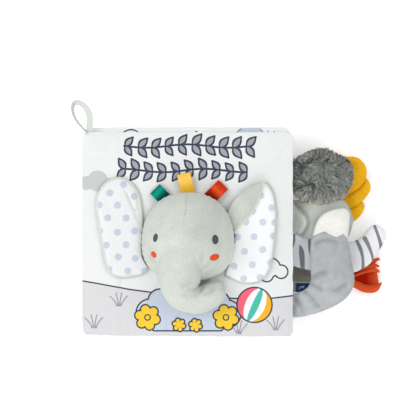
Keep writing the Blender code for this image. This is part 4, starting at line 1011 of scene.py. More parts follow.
def stitch_row(name, pixels, surface, pitch=0.0016, reach=0.00055, radius=0.00020):
    """Short bars of thread end to end along a line, half sunk in the cloth under them.

    Each bar is four six-sided rings, the outer two small; surface gives the cloth's height.
    """
    path = pixel_path(pixels, SEAM_POINTS)
    run = travelled_along(path)
    turn = np.arange(BAR_SIDES) / BAR_SIDES * math.tau
    wide = radius * np.array([BAR_END_SHARE, 1, 1, BAR_END_SHARE])[:, None, None]
    ends = [[3, 2, 1, 0], [5, 4, 3, 0], [18, 19, 20, 21], [18, 21, 22, 23]]
    bar = np.concatenate([grid_faces(4, BAR_SIDES, wrap=True), ends])
    points, faces = [], []
    for number, place in enumerate(np.arange(pitch / 2, run[-1], pitch)):
        full = reach * BAR_FULL_SHARE
        steps = place + np.array([-reach, -full, full, reach])
        x, y = (np.interp(steps, run, path[:, i]) for i in range(2))
        middle = np.stack([x, y, surface(x, y)], -1)
        ahead = unit(middle[3] - middle[0])
        across = unit(np.cross(ahead, (0, 0, 1)))
        up = np.cross(across, ahead)
        ring = across * np.cos(turn)[None, :, None] + up * np.sin(turn)[None, :, None]
        points.append((middle[:, None] + ring * wide).reshape(-1, 3))
        faces.append(bar + 4 * BAR_SIDES * number)
    row = put_mesh(name, np.concatenate(points), np.concatenate(faces))
    face_outwards(row)
    return row


seam_thread = mottled_material("seam_thread", SEAM_THREAD, *SEAM_THREAD_LOOKS)
for thread_name, seam in (("crown_seam_thread", CROWN_SEAM), ("trunk_seam_thread", TRUNK_SEAM)):
    dress(stitch_row(thread_name, seam, head_height), seam_thread, "front_cover")

# Eyes and cheeks are satin-stitch patches: thread laid side by side over a low pad.
EYE_DARK = (0.050, 0.064, 0.062)
CHEEK_ORANGE = (0.820, 0.080, 0.004)
PATCHES = {
    "left_eye": ((156.2, 237.3), (0.0042, 0.0080), -13, EYE_DARK, "dark_thread"),
    "right_eye": ((215.2, 239.0), (0.0058, 0.0086), 4, EYE_DARK, "dark_thread"),
    "left_cheek": ((154.4, 253.9), (0.0046, 0.0064), 28, CHEEK_ORANGE, "orange_thread"),
    "right_cheek": ((214.4, 256.5), (0.0092, 0.0060), 20, CHEEK_ORANGE, "orange_thread"),
}
STITCH_PITCH = 0.00055
STITCH_RIDGE = 0.00010
PATCH_RISE = 0.0007
PATCH_CLEARANCE = 0.00005
PATCH_EDGE = 0.0001
PATCH_CELLS = 33
# The stitches carry painted light: a painted highlight over the middle of each patch and along each
# thread, painted shade in the lines between.
PATCH_BRIGHT_SHARE = 0.72
PATCH_LINES = (0.55, 0.45)
PATCH_ROUGHNESS = 0.45
PATCH_MOTTLE = (900.0, 0.30, 1.0)
THREAD_BRIGHTER = 1.25
DARK_THREAD = {"below": 0.2, "lift": 0.055}


def thread_material(name, colour):
    """Embroidery thread: painted highlight where the stitches stand up, painted shade in lines between.
    """
    material, shader = plain_material(name, colour, PATCH_ROUGHNESS)
    lift = DARK_THREAD["lift"] if max(colour) < DARK_THREAD["below"] else 0
    painted_highlight = tuple(min(1.0, part * THREAD_BRIGHTER + lift) for part in colour)
    lit_stitch_colour = mix_colour(material, attribute_value(material, "painted_stitch_light"), colour, painted_highlight)
    shade = mottled(material, lit_stitch_colour, *PATCH_MOTTLE)
    fill_inputs(material, shader, {"Base Color": shade, "Specular IOR Level": 0.30})
    return material


patch_u, patch_v = np.meshgrid(*[np.linspace(-1, 1, PATCH_CELLS)] * 2)
patch_reach = np.maximum(np.abs(patch_u), np.abs(patch_v))
patch_away = np.maximum(np.hypot(patch_u, patch_v), SMALL)
for patch_name, (pixel, (width, height), tilt, colour, slot) in PATCHES.items():
    disc_u = patch_u / patch_away * patch_reach * width / 2
    disc_v = patch_v / patch_away * patch_reach * height / 2
    lean = math.radians(tilt)
    centre_x, centre_y = spot(*pixel)
    patch_x = centre_x + disc_u * math.cos(lean) - disc_v * math.sin(lean)
    patch_y = centre_y + disc_u * math.sin(lean) + disc_v * math.cos(lean)
    ridge = STITCH_RIDGE * np.abs(np.sin(math.pi * disc_v / STITCH_PITCH))
    under = head_height(patch_x, patch_y) + PATCH_CLEARANCE
    lift = (PATCH_RISE + ridge) * fullness(patch_reach, 3)
    top = under + PATCH_EDGE + lift
    stitched = closed_slab(patch_name + "_stitches", patch_x, patch_y, top, under)
    # Painted highlight over the patch's middle and along the threads, painted shade between them.
    lines = PATCH_LINES[0] + PATCH_LINES[1] * np.sin(math.tau * disc_u / STITCH_PITCH)
    put_field(stitched, "painted_stitch_light", fullness(patch_reach / PATCH_BRIGHT_SHARE, 3, 1) * lines)
    dress(stitched, thread_material(patch_name + "_thread", colour), "front_cover", patch_name)

# The trunk is a velour tube sewn into the face, stuffed, and curled up to the right. Its
# inner side folds where it bends.
TRUNK_RADIUS = 0.0197
TRUNK_ROUTE_SHARES = (
    (-0.120, -0.010, 0.420), (-0.130, -0.330, 0.550), (-0.165, -0.667, 0.543), (-0.174, -0.955, 0.475),
    (-0.095, -1.225, 0.390), (0.190, -1.375, 0.315), (0.490, -1.280, 0.280), (0.755, -1.060, 0.265),
)
TRUNK_RADIUS_SHARES = (0.80, 0.95, 1.00, 0.985, 0.86, 0.69, 0.61, 0.46)
TRUNK_CREASE_DEPTH = 0.0010
TRUNK_CREASE_WIDTH = 0.0021
TRUNK_CREASES = (
    ((184.0, 294.6), (189.0, 295.4), (194.4, 294.2), (198.4, 291.2), (201.4, 287.4)),
    ((190.6, 288.6), (194.4, 288.0), (198.4, 285.0), (201.0, 281.2)),
    ((181.5, 284.8), (186.5, 284.0), (191.0, 281.4)),
    ((206.0, 292.4), (210.0, 290.4), (213.0, 287.0)),
)
TRUNK_FLATNESS = 0.97
TRUNK_LUMPS = ((0.0006, 0.030, 31), (0.0002, 0.012, 32))
LAST_RING_SHARE = 0.998
LIMB_POINTS = 600
TRUNK_RINGS = 200
TRUNK_SIDES = 108
TRUNK_SHADE = 0.10
TRUNK_LIGHT = {"row": 288, "rise": 0.07, "fade": 0.010}
TRUNK_CREASE_FADE = 0.004
TRUNK_RELIEF_SIZE = 0.006


def limb_points(route, half_widths, half_heights, rings, sides):
    """Ellipses carried along a smooth route, closer at its end, which is rounded off.

    Each ellipse stands square to the route, with its width level. The second array holds
    the middles of the ellipses.
    """
    fine = smooth_path(np.column_stack([route, half_widths, half_heights]), LIMB_POINTS)
    travelled = travelled_along(fine[:, :3])
    wanted = np.sin(math.pi / 2 * np.linspace(0, 1, rings)) * LAST_RING_SHARE * travelled[-1]
    row = np.stack([np.interp(wanted, travelled, column) for column in fine.T], -1)
    centre, wide, high = row[:, :3], row[:, 3], row[:, 4]
    shrink = fullness(np.clip(1 - (travelled[-1] - wanted) / wide, 0, 1), 2)
    ahead = unit(np.gradient(centre, axis=0))
    across = unit(np.cross(ahead, (0, 0, 1)))
    up = np.cross(across, ahead)
    angle = ring_angles(sides)
    offset = (
        across[:, None] * (wide * shrink)[:, None, None] * np.cos(angle)[None, :, None]
        + up[:, None] * (high * shrink)[:, None, None] * np.sin(angle)[None, :, None]
    )
    return centre[:, None] + offset, centre


trunk_route = np.array(TRUNK_ROUTE_SHARES) * (HEAD_HALF_WIDTH, HEAD_HALF_HEIGHT, HEAD_RISE)
trunk_route += (HEAD_X, HEAD_Y, HEAD_BASE)
trunk_radii = TRUNK_RADIUS * np.array(TRUNK_RADIUS_SHARES)
trunk_points, trunk_centre = limb_points(
    trunk_route, trunk_radii, trunk_radii * TRUNK_FLATNESS, TRUNK_RINGS, TRUNK_SIDES
)
trunk_x, trunk_y = trunk_points[..., 0], trunk_points[..., 1]
outwards = trunk_points - trunk_centre[:, None]
creased = crease_depth(trunk_x, trunk_y, TRUNK_CREASES, TRUNK_CREASE_WIDTH)
creased = creased * smooth_step(outwards[..., 2] / TRUNK_CREASE_FADE)
depth = layered_noise(trunk_x, trunk_y, TRUNK_LUMPS) - TRUNK_CREASE_DEPTH * creased
size = np.maximum(np.linalg.norm(outwards, axis=2, keepdims=True), 1e-6)
push = depth[..., None] * np.minimum(1, size / TRUNK_RELIEF_SIZE)
trunk_points = trunk_points + outwards / size * push
trunk = tube_piece("trunk_velour", trunk_points)
# Painted light on the trunk's underside and painted shade in its creases.
below = spot_y(TRUNK_LIGHT["row"]) - trunk_points[..., 1]
trunk_painted_light = TRUNK_LIGHT["rise"] * smooth_step(below / TRUNK_LIGHT["fade"])
put_field(trunk, "tone_and_painted_light", trunk_painted_light - TRUNK_SHADE * creased)
dress(trunk, velour, "trunk", "trunk")

# Each ear is a flat bag: velour behind, white satin with pale blue dots in front, a roll of
# velour showing round the rim. Both are sewn to the head's side; the left one has a pleat.
EAR_RINGS = 46
EAR_CLOSENESS = 0.85
EAR_FRONT_RINGS = 76
EAR_FRONT_CLOSENESS = 0.75
EAR_SIDES = 220
EAR_ROLL = 0.0036
EAR_EDGE = 0.0004
EAR_HOLLOW = {"depth": 0.0015, "reach": 0.93, "power": 0.6}
EAR_LUMPS = {"height": 0.0003, "length": 0.02}
EAR_SINK = 0.0014
SATIN_RISE = 0.0026
SATIN_EDGE = 0.0003
SATIN_LUMPS = {"height": 0.0005, "length": 0.035}
SATIN_PUCKERS = {"height": 0.00025, "turn": 0.16, "from": 0.72, "over": 0.2}
PLEAT_POINTS = 24
PLEAT = {
    "width": 0.0016, "depth": 0.0020, "slope_width": 0.006, "slope": 0.0009, "reach": 0.013,
    "right_depth": 0.6, "right_slope": 0.2, "top_row": 184, "fade": 0.012,
}
BORDER_WIDTHS = {"left": 0.0021, "right": 0.0015}
TURNED_BACK_WIDTH = 0.0026
TURNED_BACK = {"row": 212, "over": 0.016, "column": 132}
HIDDEN_BORDER = 0.85
LEFT_HIDDEN = {"column": 136.5, "over": 0.003, "row": 228, "row_over": 0.008}
RIGHT_HIDDEN = {"column": 238.5, "over": 0.003, "row": 276, "row_over": 0.004}
SATIN_ROUGHNESS = 0.42
SATIN_WEAVE = (0.00035, 0.00003)
SATIN_MOTTLE = (80.0, 0.02)
# Both ears are the same satin; the right one's colours are a lighter copy, painted light against the
# shade it lies in.
EAR_COLOURS = {
    "left": ((0.775, 0.782, 0.795), (0.525, 0.577, 0.675)),
    "right": ((0.880, 0.884, 0.892), (0.600, 0.650, 0.740)),
}
# The velour that shows round the ears is a lighter copy of the ear's velour, painted light against the
# shade in its roll.
BORDER_VELOUR_LIT = (0.700, 0.735, 0.676)
DOT_RADIUS = 0.0033
DOT_BLUR = 0.00022
LEFT_EAR_PIXELS = (
    (118.5, 176.8), (126.2, 178.4), (133.4, 184.0), (139.0, 192.1), (141.9, 203.2), (143.0, 214.0),
    (143.2, 226.0), (142.4, 236.0), (141.6, 246.0), (142.6, 256.0), (145.4, 263.0), (147.8, 269.4),
    (139.6, 275.4), (129.6, 277.6), (120.9, 278.1), (112.9, 275.8), (107.3, 269.4), (104.1, 259.0),
    (101.3, 244.7), (99.0, 232.0), (97.0, 217.6), (95.7, 206.4), (96.6, 196.4), (102.0, 185.6),
    (109.4, 179.2),
)
LEFT_EAR_PLEAT = ((124.6, 187.6), (128.2, 195.5), (132.5, 205.5), (137.5, 216.5), (142.5, 226.0))
LEFT_EAR_DOTS = (
    (123.8, 184.6), (110.2, 192.9), (99.4, 204.8), (117.6, 205.2), (108.0, 217.8), (126.3, 218.0),
    (117.6, 232.2), (134.8, 231.0), (106.6, 245.0), (126.3, 244.6), (118.6, 256.8), (135.6, 258.2),
    (128.0, 270.8), (109.2, 269.2), (144.8, 270.6), (100.0, 231.0),
)
LEFT_EAR_PLEAT_DOTS = ((134.4, 196.4), (132.6, 211.0), (123.8, 184.6))
RIGHT_EAR_PIXELS = (
    (264.3, 181.8), (270.0, 186.6), (274.0, 195.4), (276.2, 207.0), (276.9, 221.0), (275.8, 235.0),
    (274.4, 248.0), (272.6, 260.0), (268.8, 271.6), (262.8, 279.4), (256.4, 283.0), (249.6, 283.8),
    (242.0, 283.4), (235.0, 280.7), (228.6, 277.6), (225.0, 274.6), (228.0, 266.0), (232.4, 252.0),
    (234.6, 238.0), (234.0, 224.0), (236.0, 206.0), (243.6, 191.6), (253.6, 184.2),
)
RIGHT_EAR_DOTS = (
    (271.6, 207.9), (262.6, 222.0), (245.8, 222.0), (253.8, 236.6), (272.9, 236.0), (262.6, 249.5),
    (244.3, 251.3), (252.3, 264.5), (234.0, 266.0), (243.6, 278.6), (260.0, 277.4), (260.9, 195.6),
    (252.6, 211.2), (237.4, 237.0), (270.6, 262.6), (274.6, 222.4),
)

def round_grid(outline, centre, rings, closeness=1.0):
    """Places from the middle of an outline to its rim: x, y and reach, 0 to 1.

    Each place lies on the line from the centre to a rim point, closer together at the rim.
    """
    share = np.sin(np.linspace(INNERMOST, 1, rings) * math.pi / 2 * closeness)
    share /= math.sin(math.pi / 2 * closeness)
    reach = np.repeat(share[:, None], len(outline), axis=1)
    place = centre + share[:, None, None] * (outline[None] - centre)
    return place[..., 0], place[..., 1], reach


def pillow(name, x, y, top, bottom):
    """A closed pad: rings from the middle of its top out to the rim, then back underneath."""
    upper = np.stack([x, y, top], -1)
    lower = np.stack([x, y, bottom], -1)[::-1]
    return tube_piece(name, np.concatenate([upper, lower]))


def put_top_field(piece, name, values):
    """Store numbers on a pad's points, the same above and below."""
    put_field(piece, name, np.concatenate([values, values[::-1]]))


def anticlockwise(line):
    """A closed line, turned round if it runs clockwise seen from above."""
    area = np.sum(line[:, 0] * np.roll(line[:, 1], -1) - line[:, 1] * np.roll(line[:, 0], -1))
    return line if area > 0 else line[::-1]


def inset_outline(outline, amount):
    """The outline moved inwards, square to itself."""
    ahead = unit(np.roll(outline, -1, axis=0) - np.roll(outline, 1, axis=0))
    return outline + np.stack([-ahead[:, 1], ahead[:, 0]], -1) * amount


def dots_field(x, y, pixels):
    """Above zero inside any of the dots: their radius minus the distance to the nearest middle."""
    field = np.full_like(x, -1.0)
    for pixel in pixels:
        middle = spot(*pixel)
        field = np.maximum(field, DOT_RADIUS - np.hypot(x - middle[0], y - middle[1]))
    return field


def satin_material(name, ground, dots):
    """Satin with dots of another colour where its print_dots field is above zero."""
    material, shader = plain_material(name, ground, SATIN_ROUGHNESS)
    printed = print_layer(material, "print_dots", ground, dots, blur=DOT_BLUR)
    fill_inputs(material, shader, {
        "Base Color": mottled(material, printed, *SATIN_MOTTLE),
        "Sheen Weight": 0.15, "Specular IOR Level": 0.35,
    })
    weave_bump(material, shader, *SATIN_WEAVE)
    return material


def make_ear(side, outline, border, dots, pleat=None, pleat_dots=()):
    """Back, then front: each a pad whose top is a height times a power of the reach.

    Soft noises lie over both, and the front has a pleat: a valley along a line, steeper on
    its right side.
    """
    centre = outline.mean(axis=0)
    x, y, reach = round_grid(outline, centre, EAR_RINGS, EAR_CLOSENESS)
    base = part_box(side + "_ear_back")[0][2] + 0 * x
    rim = fullness(reach, 8)
    roll = EAR_ROLL * rim + EAR_EDGE
    hollow = np.clip(1 - reach / EAR_HOLLOW["reach"], 0, 1)
    roll -= EAR_HOLLOW["depth"] * hollow ** EAR_HOLLOW["power"]
    roll += EAR_LUMPS["height"] * soft_noise(x, y, EAR_LUMPS["length"], 41) * rim
    back = pillow(side + "_ear_velour", x, y, base + roll, base)
    dress(back, lit_border_velour, side + "_ear", side + "_ear_back")

    outline = inset_outline(outline, border)
    x, y, reach = round_grid(outline, centre, EAR_FRONT_RINGS, EAR_FRONT_CLOSENESS)
    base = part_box(side + "_ear_front")[0][2] - EAR_SINK
    swell = fullness(reach, 5, 0.55)
    turn = np.arctan2(y - centre[1], x - centre[0])
    puckers = SATIN_PUCKERS["height"] * soft_noise(turn, 0 * x, SATIN_PUCKERS["turn"], 43)
    near_rim = smooth_step((reach - SATIN_PUCKERS["from"]) / SATIN_PUCKERS["over"])
    puckers *= near_rim * (1 - reach ** 20)
    relief = SATIN_LUMPS["height"] * soft_noise(x, y, SATIN_LUMPS["length"], 44) + puckers
    field = dots_field(x, y, dots)
    if pleat is not None:
        away, hand = line_side(x, y, pleat)
        valley = bell(away, PLEAT["width"]) * PLEAT["depth"]
        slope = np.exp(-away / PLEAT["slope_width"]) * PLEAT["slope"]
        tail = smooth_step((spot_y(PLEAT["top_row"]) - y) / PLEAT["fade"])
        right = valley * PLEAT["right_depth"] - slope * PLEAT["right_slope"]
        relief -= np.where(hand > 0, right, valley + slope) * tail
        folded = (hand > 0) & (away < PLEAT["reach"])
        field = np.where(folded, dots_field(x, y, pleat_dots), field)
    height = (SATIN_RISE + relief) * swell + SATIN_EDGE
    front = pillow(side + "_ear_satin", x, y, base + height, base - SATIN_EDGE + 0 * x)
    put_top_field(front, "print_dots", field)
    dress(front, satins[side], side + "_ear", side + "_ear_front")


def border_width(side, hidden, wider=0.0):
    """How much velour shows round an ear: little where the satin hides it."""
    width = BORDER_WIDTHS[side] * (1 - HIDDEN_BORDER * hidden)
    return (width + TURNED_BACK_WIDTH * wider * (1 - hidden))[:, None]


satins = {side: satin_material(side + "_ear_satin", *EAR_COLOURS[side]) for side in EAR_COLOURS}
lit_border_velour = velour_material("ear_velour", BORDER_VELOUR_LIT)
outline = anticlockwise(pixel_path(LEFT_EAR_PIXELS, EAR_SIDES, closed=True))
turned_back = bell(outline[:, 1] - spot_y(TURNED_BACK["row"]), TURNED_BACK["over"])
turned_back *= outline[:, 0] > spot_x(TURNED_BACK["column"])
hidden = smooth_step((outline[:, 0] - spot_x(LEFT_HIDDEN["column"])) / LEFT_HIDDEN["over"])
hidden *= smooth_step((spot_y(LEFT_HIDDEN["row"]) - outline[:, 1]) / LEFT_HIDDEN["row_over"])
left_pleat = pixel_path(LEFT_EAR_PLEAT, PLEAT_POINTS)
border = border_width("left", hidden, turned_back)
make_ear("left", outline, border, LEFT_EAR_DOTS, left_pleat, LEFT_EAR_PLEAT_DOTS)
outline = anticlockwise(pixel_path(RIGHT_EAR_PIXELS, EAR_SIDES, closed=True))
hidden = smooth_step((spot_x(RIGHT_HIDDEN["column"]) - outline[:, 0]) / RIGHT_HIDDEN["over"])
hidden *= smooth_step((outline[:, 1] - spot_y(RIGHT_HIDDEN["row"])) / RIGHT_HIDDEN["row_over"])
make_ear("right", outline, border_width("right", hidden), RIGHT_EAR_DOTS)

# The right ear's upper corner is turned over its front, so that its velour back shows.
EAR_FLAP_PIXELS = (
    (264.2, 182.4), (261.6, 191.6), (256.6, 205.8), (249.6, 216.6), (242.2, 225.0), (235.4, 233.4),
    (233.4, 230.0), (230.6, 221.6), (227.5, 213.8), (231.2, 204.9), (236.0, 198.0), (245.2, 189.4),
    (254.4, 183.6), (260.6, 182.0),
)
FLAP_CENTRE_PIXEL = (246.0, 204.5)
FLAP_FOLDS = (
    ((229.4, 216.0), (233.4, 208.0), (240.0, 198.6)), ((233.6, 228.0), (236.4, 220.0), (239.8, 213.4)),
)
# The turned-over flap is a darker copy of the same ear velour, painted shade.
FLAP_VELOUR_SHADED = (0.590, 0.626, 0.565)
FLAP_SINK = 0.0006
FLAP_CLEARANCE = 0.0006
FLAP_EDGE = 0.0005
FLAP_RINGS = 34
FLAP_SIDES = 160
FLAP_CLOSENESS = 0.8
FLAP_LUMPS = {"share": 0.16, "length": 0.018}
FLAP_FOLD = {"depth": 0.0010, "width": 0.0017}
FLAP_EDGE_LIGHT = {"share": 0.45, "width": 0.0011}
FLAP_EDGE_END = 6
FLAP_EDGE_POINTS = 40
outline = anticlockwise(pixel_path(EAR_FLAP_PIXELS, FLAP_SIDES, closed=True))
centre = np.array(spot(*FLAP_CENTRE_PIXEL))
x, y, reach = round_grid(outline, centre, FLAP_RINGS, FLAP_CLOSENESS)
flap_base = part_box("right_ear_front")[1][2] - FLAP_SINK
flap_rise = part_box("right_ear_back")[1][2] - flap_base - FLAP_CLEARANCE
hump = flap_rise * fullness(reach, 2.6, 0.6)
hump *= 1 + FLAP_LUMPS["share"] * soft_noise(x, y, FLAP_LUMPS["length"], 51)
folds = crease_depth(x, y, FLAP_FOLDS, FLAP_FOLD["width"])
hump -= FLAP_FOLD["depth"] * folds * fullness(reach, 4, 1)
flap = pillow("right_ear_flap", x, y, flap_base + FLAP_EDGE + hump, flap_base + 0 * x)
# A painted highlight along the flap's folded edge.
flap_edge = pixel_path(EAR_FLAP_PIXELS[:FLAP_EDGE_END], FLAP_EDGE_POINTS)
edge_light = bell(line_side(x, y, flap_edge)[0], FLAP_EDGE_LIGHT["width"])
put_top_field(flap, "tone_and_painted_light", FLAP_EDGE_LIGHT["share"] * edge_light)
shaded_flap_velour = velour_material("ear_flap_velour", FLAP_VELOUR_SHADED)
dress(flap, shaded_flap_velour, "right_ear")

# Three satin ribbons, each folded double, are caught in the seam at the crown of the head.
TAG_WIDTH = 0.0128
RIBBON = 0.0004
# Each tag's colours hold a painted highlight band across its bend, with its place, width and colour,
# and the strength of painted shade towards its root.
TAGS = {
    "green_tag": {
        "root": (164.6, 198.6), "turn": 134.6, "reach": 0.0128, "bulge": 0.0030, "highlight_band": (0.68, 0.17),
        "dark": 0.90, "colour": (0.000, 0.150, 0.098), "painted_highlight": (0.000, 0.420, 0.310),
        "slot": "green_ribbon",
    },
    "yellow_tag": {
        "root": (188.0, 192.6), "turn": 102.7, "reach": 0.0182, "bulge": 0.0022, "highlight_band": (0.72, 0.34),
        "dark": 0.15, "colour": (0.930, 0.480, 0.028), "painted_highlight": (1.000, 0.690, 0.190),
        "slot": "yellow_ribbon",
    },
    "red_tag": {
        "root": (211.0, 196.8), "turn": 44.6, "reach": 0.0162, "bulge": 0.0032, "highlight_band": (0.50, 0.18),
        "dark": 0.80, "colour": (0.560, 0.030, 0.003), "painted_highlight": (0.900, 0.110, 0.020),
        "slot": "red_ribbon",
    },
}
TAG_TURN_RADIUS = 0.0009
TAG_IN_SEAM = (0.003, 0.004)
TAG_DROP = 0.0006
TAG_HIGHLIGHT_SHARE = 0.62
TAG_SHADE_REACH = 0.55
TAG_STEPS = 25
TAG_BEND_STEPS = 17
TAG_BULGE_POWER = 1.2
TAG_ROUGHNESS = 0.28
THREAD_SCALE = (2600.0, 60.0, 1.0)
THREAD_DEPTH = 0.00006
THREAD_SHADES = (0.80, 1.18)
RIBBON_PAINTED_SHADE = 0.22
RIBBON_COLUMNS = 13
RIBBON_EDGE = {"power": 6, "least": 0.08}


def ribbon_material(name, colour, roughness, painted_highlight=None):
    """Satin ribbon: fine threads along its length; on the tags a painted highlight across them.

    Two attributes give where a painted highlight lies on the bend and where painted shade
    darkens the ribbon as it turns away.
    """
    material, shader = plain_material(name, colour, roughness)
    cloth_place = add_node(material, "ShaderNodeUVMap", uv_map="UVMap").outputs["UV"]
    drawn_out = add_node(material, "ShaderNodeMapping", {"Vector": cloth_place, "Scale": THREAD_SCALE})
    threads = noise_value(material, drawn_out.outputs[0], 1.0, 3.0)
    darker, lighter = (tuple(min(1.0, part * share) for part in colour) for share in THREAD_SHADES)
    shade = mix_colour(material, threads, darker, lighter)
    if painted_highlight:
        # Painted shade towards the root, then a painted highlight across the bend.
        painted_shade_colour = tuple(part * RIBBON_PAINTED_SHADE for part in colour)
        shade = mix_colour(material, attribute_value(material, "painted_satin_shade"), shade, painted_shade_colour)
        shade = mix_colour(material, attribute_value(material, "painted_satin_highlight"), shade, painted_highlight)
    bump(material, shader, threads, THREAD_DEPTH, 0.5)
    fill_inputs(material, shader, {
        "Base Color": shade, "Anisotropic": 0.4, "Specular IOR Level": 0.30,
        "Specular Tint": (*(min(1.0, part * 1.1 + 0.02) ** 0.45 for part in colour), 1.0),
    })
    return material


def ribbon_strip(name, centre, across, width, thickness):
    """A flat band carried along a path: a thin closed ring at each step, its edges thinner."""
    upward = np.cross(across, unit(np.gradient(centre, axis=0)))
    share = np.linspace(-1, 1, RIBBON_COLUMNS)
    outer = centre[:, None] + across[:, None] * (share * width / 2)[None, :, None]
    thinner = np.sqrt(np.clip(1 - share ** RIBBON_EDGE["power"], RIBBON_EDGE["least"], 1))
    half = (thickness / 2 * thinner)[None, :, None]
    above, below = outer + upward[:, None] * half, outer - upward[:, None] * half
    ring = np.concatenate([above, below[:, ::-1]], axis=1)
    across_uv = np.concatenate([share, share[::-1]]) * width / 2
    along_uv = travelled_along(centre)[:, None]
    uv = np.stack(np.broadcast_arrays(across_uv[None], along_uv), -1).reshape(-1, 2)
    return tube_piece(name, ring, uv)


for tag_name, tag in TAGS.items():
    turn = math.radians(tag["turn"])
    along_tag = np.array([math.cos(turn), math.sin(turn), 0.0])
    across_tag = np.array([math.sin(turn), -math.cos(turn), 0.0])
    root = np.array([*spot(*tag["root"]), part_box(tag_name)[0][2] + RIBBON / 2])
    straight = tag["reach"] - TAG_TURN_RADIUS
    lower_end, upper_end = TAG_IN_SEAM
    step = np.linspace(0, 1, TAG_STEPS)
    bend = np.linspace(-math.pi / 2, math.pi / 2, TAG_BEND_STEPS)
    run = np.concatenate([
        -lower_end + (straight + lower_end) * step[:-1], straight + TAG_TURN_RADIUS * np.cos(bend),
        (straight + upper_end) * (1 - step[1:]) - upper_end,
    ])
    bulge = tag["bulge"] * np.sin(math.pi * np.clip(step[1:], 0, 1)) ** TAG_BULGE_POWER
    rise = np.concatenate([
        0 * step[:-1], TAG_TURN_RADIUS * (1 + np.sin(bend)),
        2 * TAG_TURN_RADIUS + bulge - TAG_DROP * step[1:] ** 3,
    ])
    centre = root + run[:, None] * along_tag + rise[:, None] * (0, 0, 1)
    across = np.repeat(across_tag[None], len(centre), axis=0)
    strip = ribbon_strip(tag_name + "_ribbon", centre, across, TAG_WIDTH, RIBBON)
    out = np.repeat(run / tag["reach"], len(strip.data.vertices) // len(run))
    # A painted highlight band across the bend and painted shade towards the root.
    put_field(strip, "painted_satin_highlight", TAG_HIGHLIGHT_SHARE * bell(out - tag["highlight_band"][0], tag["highlight_band"][1]))
    put_field(strip, "painted_satin_shade", tag["dark"] * (1 - smooth_step(out / TAG_SHADE_REACH)))
    satin = ribbon_material(tag_name + "_satin", tag["colour"], TAG_ROUGHNESS, tag["painted_highlight"])
    dress(strip, satin, tag_name, tag_name)
    length = float(np.linalg.norm(np.diff(centre, axis=0), axis=1).sum())

# The hanging loop is a narrow woven ribbon whose two ends are sewn into the cover's corner.
# It stands on edge along its left side and lies flat on its right.
LOOP_RIBBON_WIDTH = 0.0060
LOOP_COLOUR = (0.640, 0.675, 0.622)
LOOP_PIXELS = (
    (89.0, 133.6), (89.1, 127.0), (89.4, 120.5), (88.6, 113.5), (84.8, 106.8), (79.6, 102.8),
    (74.8, 102.4), (72.4, 106.6), (72.9, 113.0), (76.4, 120.4), (81.2, 126.6), (85.4, 131.0),
    (87.0, 133.2),
)
LOOP_TWISTS = (0.0, 0.0, 0.05, 0.12, 0.30, 0.42, 0.52, 0.66, 0.74, 0.78, 0.80, 0.82, 0.82)
LOOP_THICKNESS = 0.0008
LOOP_TILT = 0.0006
LOOP_STEPS = 120
LOOP_ROUGHNESS = 0.6
loop_low, loop_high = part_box("hanging_loop")
loop_route = [(*spot(*pixel), twist) for pixel, twist in zip(LOOP_PIXELS, LOOP_TWISTS)]
loop_path = smooth_path(loop_route, LOOP_STEPS)
loop_level = (loop_low[2] + loop_high[2]) / 2 + np.linspace(-LOOP_TILT, LOOP_TILT, len(loop_path))
loop_centre = np.column_stack([loop_path[:, :2], loop_level])
level_side = np.cross(unit(np.gradient(loop_centre, axis=0)), (0, 0, 1))
lean = math.pi / 2 * loop_path[:, 2:3]
loop_across = level_side * np.cos(lean) + np.array([0, 0, 1]) * np.sin(lean)
loop = ribbon_strip("loop_ribbon", loop_centre, loop_across, LOOP_RIBBON_WIDTH, LOOP_THICKNESS)
loop_ribbon = ribbon_material("loop_ribbon", LOOP_COLOUR, LOOP_ROUGHNESS)
dress(loop, loop_ribbon, "hanging_loop", "hanging_loop")

# The tails hang out of the fore edge, each sewn into the seam of its own leaf. The grey one
# curls up over the others: grey velour with a cream velour tip, joined by a zigzag seam.
TAIL_GREY = (0.428, 0.448, 0.455)
TIP_CREAM = (0.860, 0.860, 0.800)
GREY_PAIRS = (
    (290.0, 293.6, 290.0, 316.6, 0.0292, 0.0016), (296.0, 293.0, 297.5, 317.4, 0.0300, 0.0034),
    (302.5, 290.9, 310.5, 314.8, 0.0322, 0.0050), (306.2, 288.6, 323.5, 310.8, 0.0342, 0.0062),
    (308.8, 285.6, 336.0, 305.2, 0.0355, 0.0068), (310.4, 282.4, 345.5, 298.8, 0.0362, 0.0071),
    (311.0, 278.6, 351.6, 290.6, 0.0366, 0.0072), (310.8, 273.5, 354.4, 281.5, 0.0370, 0.0072),
    (310.2, 265.0, 353.6, 271.0, 0.0374, 0.0071), (310.0, 255.0, 351.2, 259.0, 0.0378, 0.0070),
    (310.6, 245.0, 349.4, 248.0, 0.0384, 0.0067), (312.4, 236.5, 347.8, 239.5, 0.0390, 0.0063),
    (315.0, 226.5, 348.9, 228.5, 0.0396, 0.0060), (318.8, 218.8, 349.8, 218.4, 0.0401, 0.0053),
    (324.5, 213.2, 349.4, 213.0, 0.0404, 0.0044), (331.5, 210.2, 347.6, 210.0, 0.0406, 0.0032),
    (338.5, 208.4, 344.8, 208.0, 0.0407, 0.0018),
)
ZIGZAG = ((-1.0, 11.06), (-0.32, 11.57), (0.25, 11.10), (0.68, 11.47), (1.0, 11.05))
GREY_CREASES = (
    ((309.0, 279.4), (314.0, 276.2), (319.6, 273.4), (324.4, 272.4)),
    ((311.0, 283.6), (316.0, 286.2), (321.6, 289.6)),
    ((305.4, 291.6), (310.0, 295.8), (315.4, 301.4), (318.6, 306.4)),
    ((296.5, 300.0), (300.6, 306.6), (304.6, 315.0)),
    ((316.0, 243.4), (321.6, 240.6), (329.0, 239.8), (336.0, 241.6)),
    ((333.0, 290.4), (340.0, 288.6), (346.0, 284.4)),
)
GREY_CREASE_DEPTH = 0.0023
GREY_CREASE_WIDTH = 0.0028
SEAM_DEPTH = 0.0009
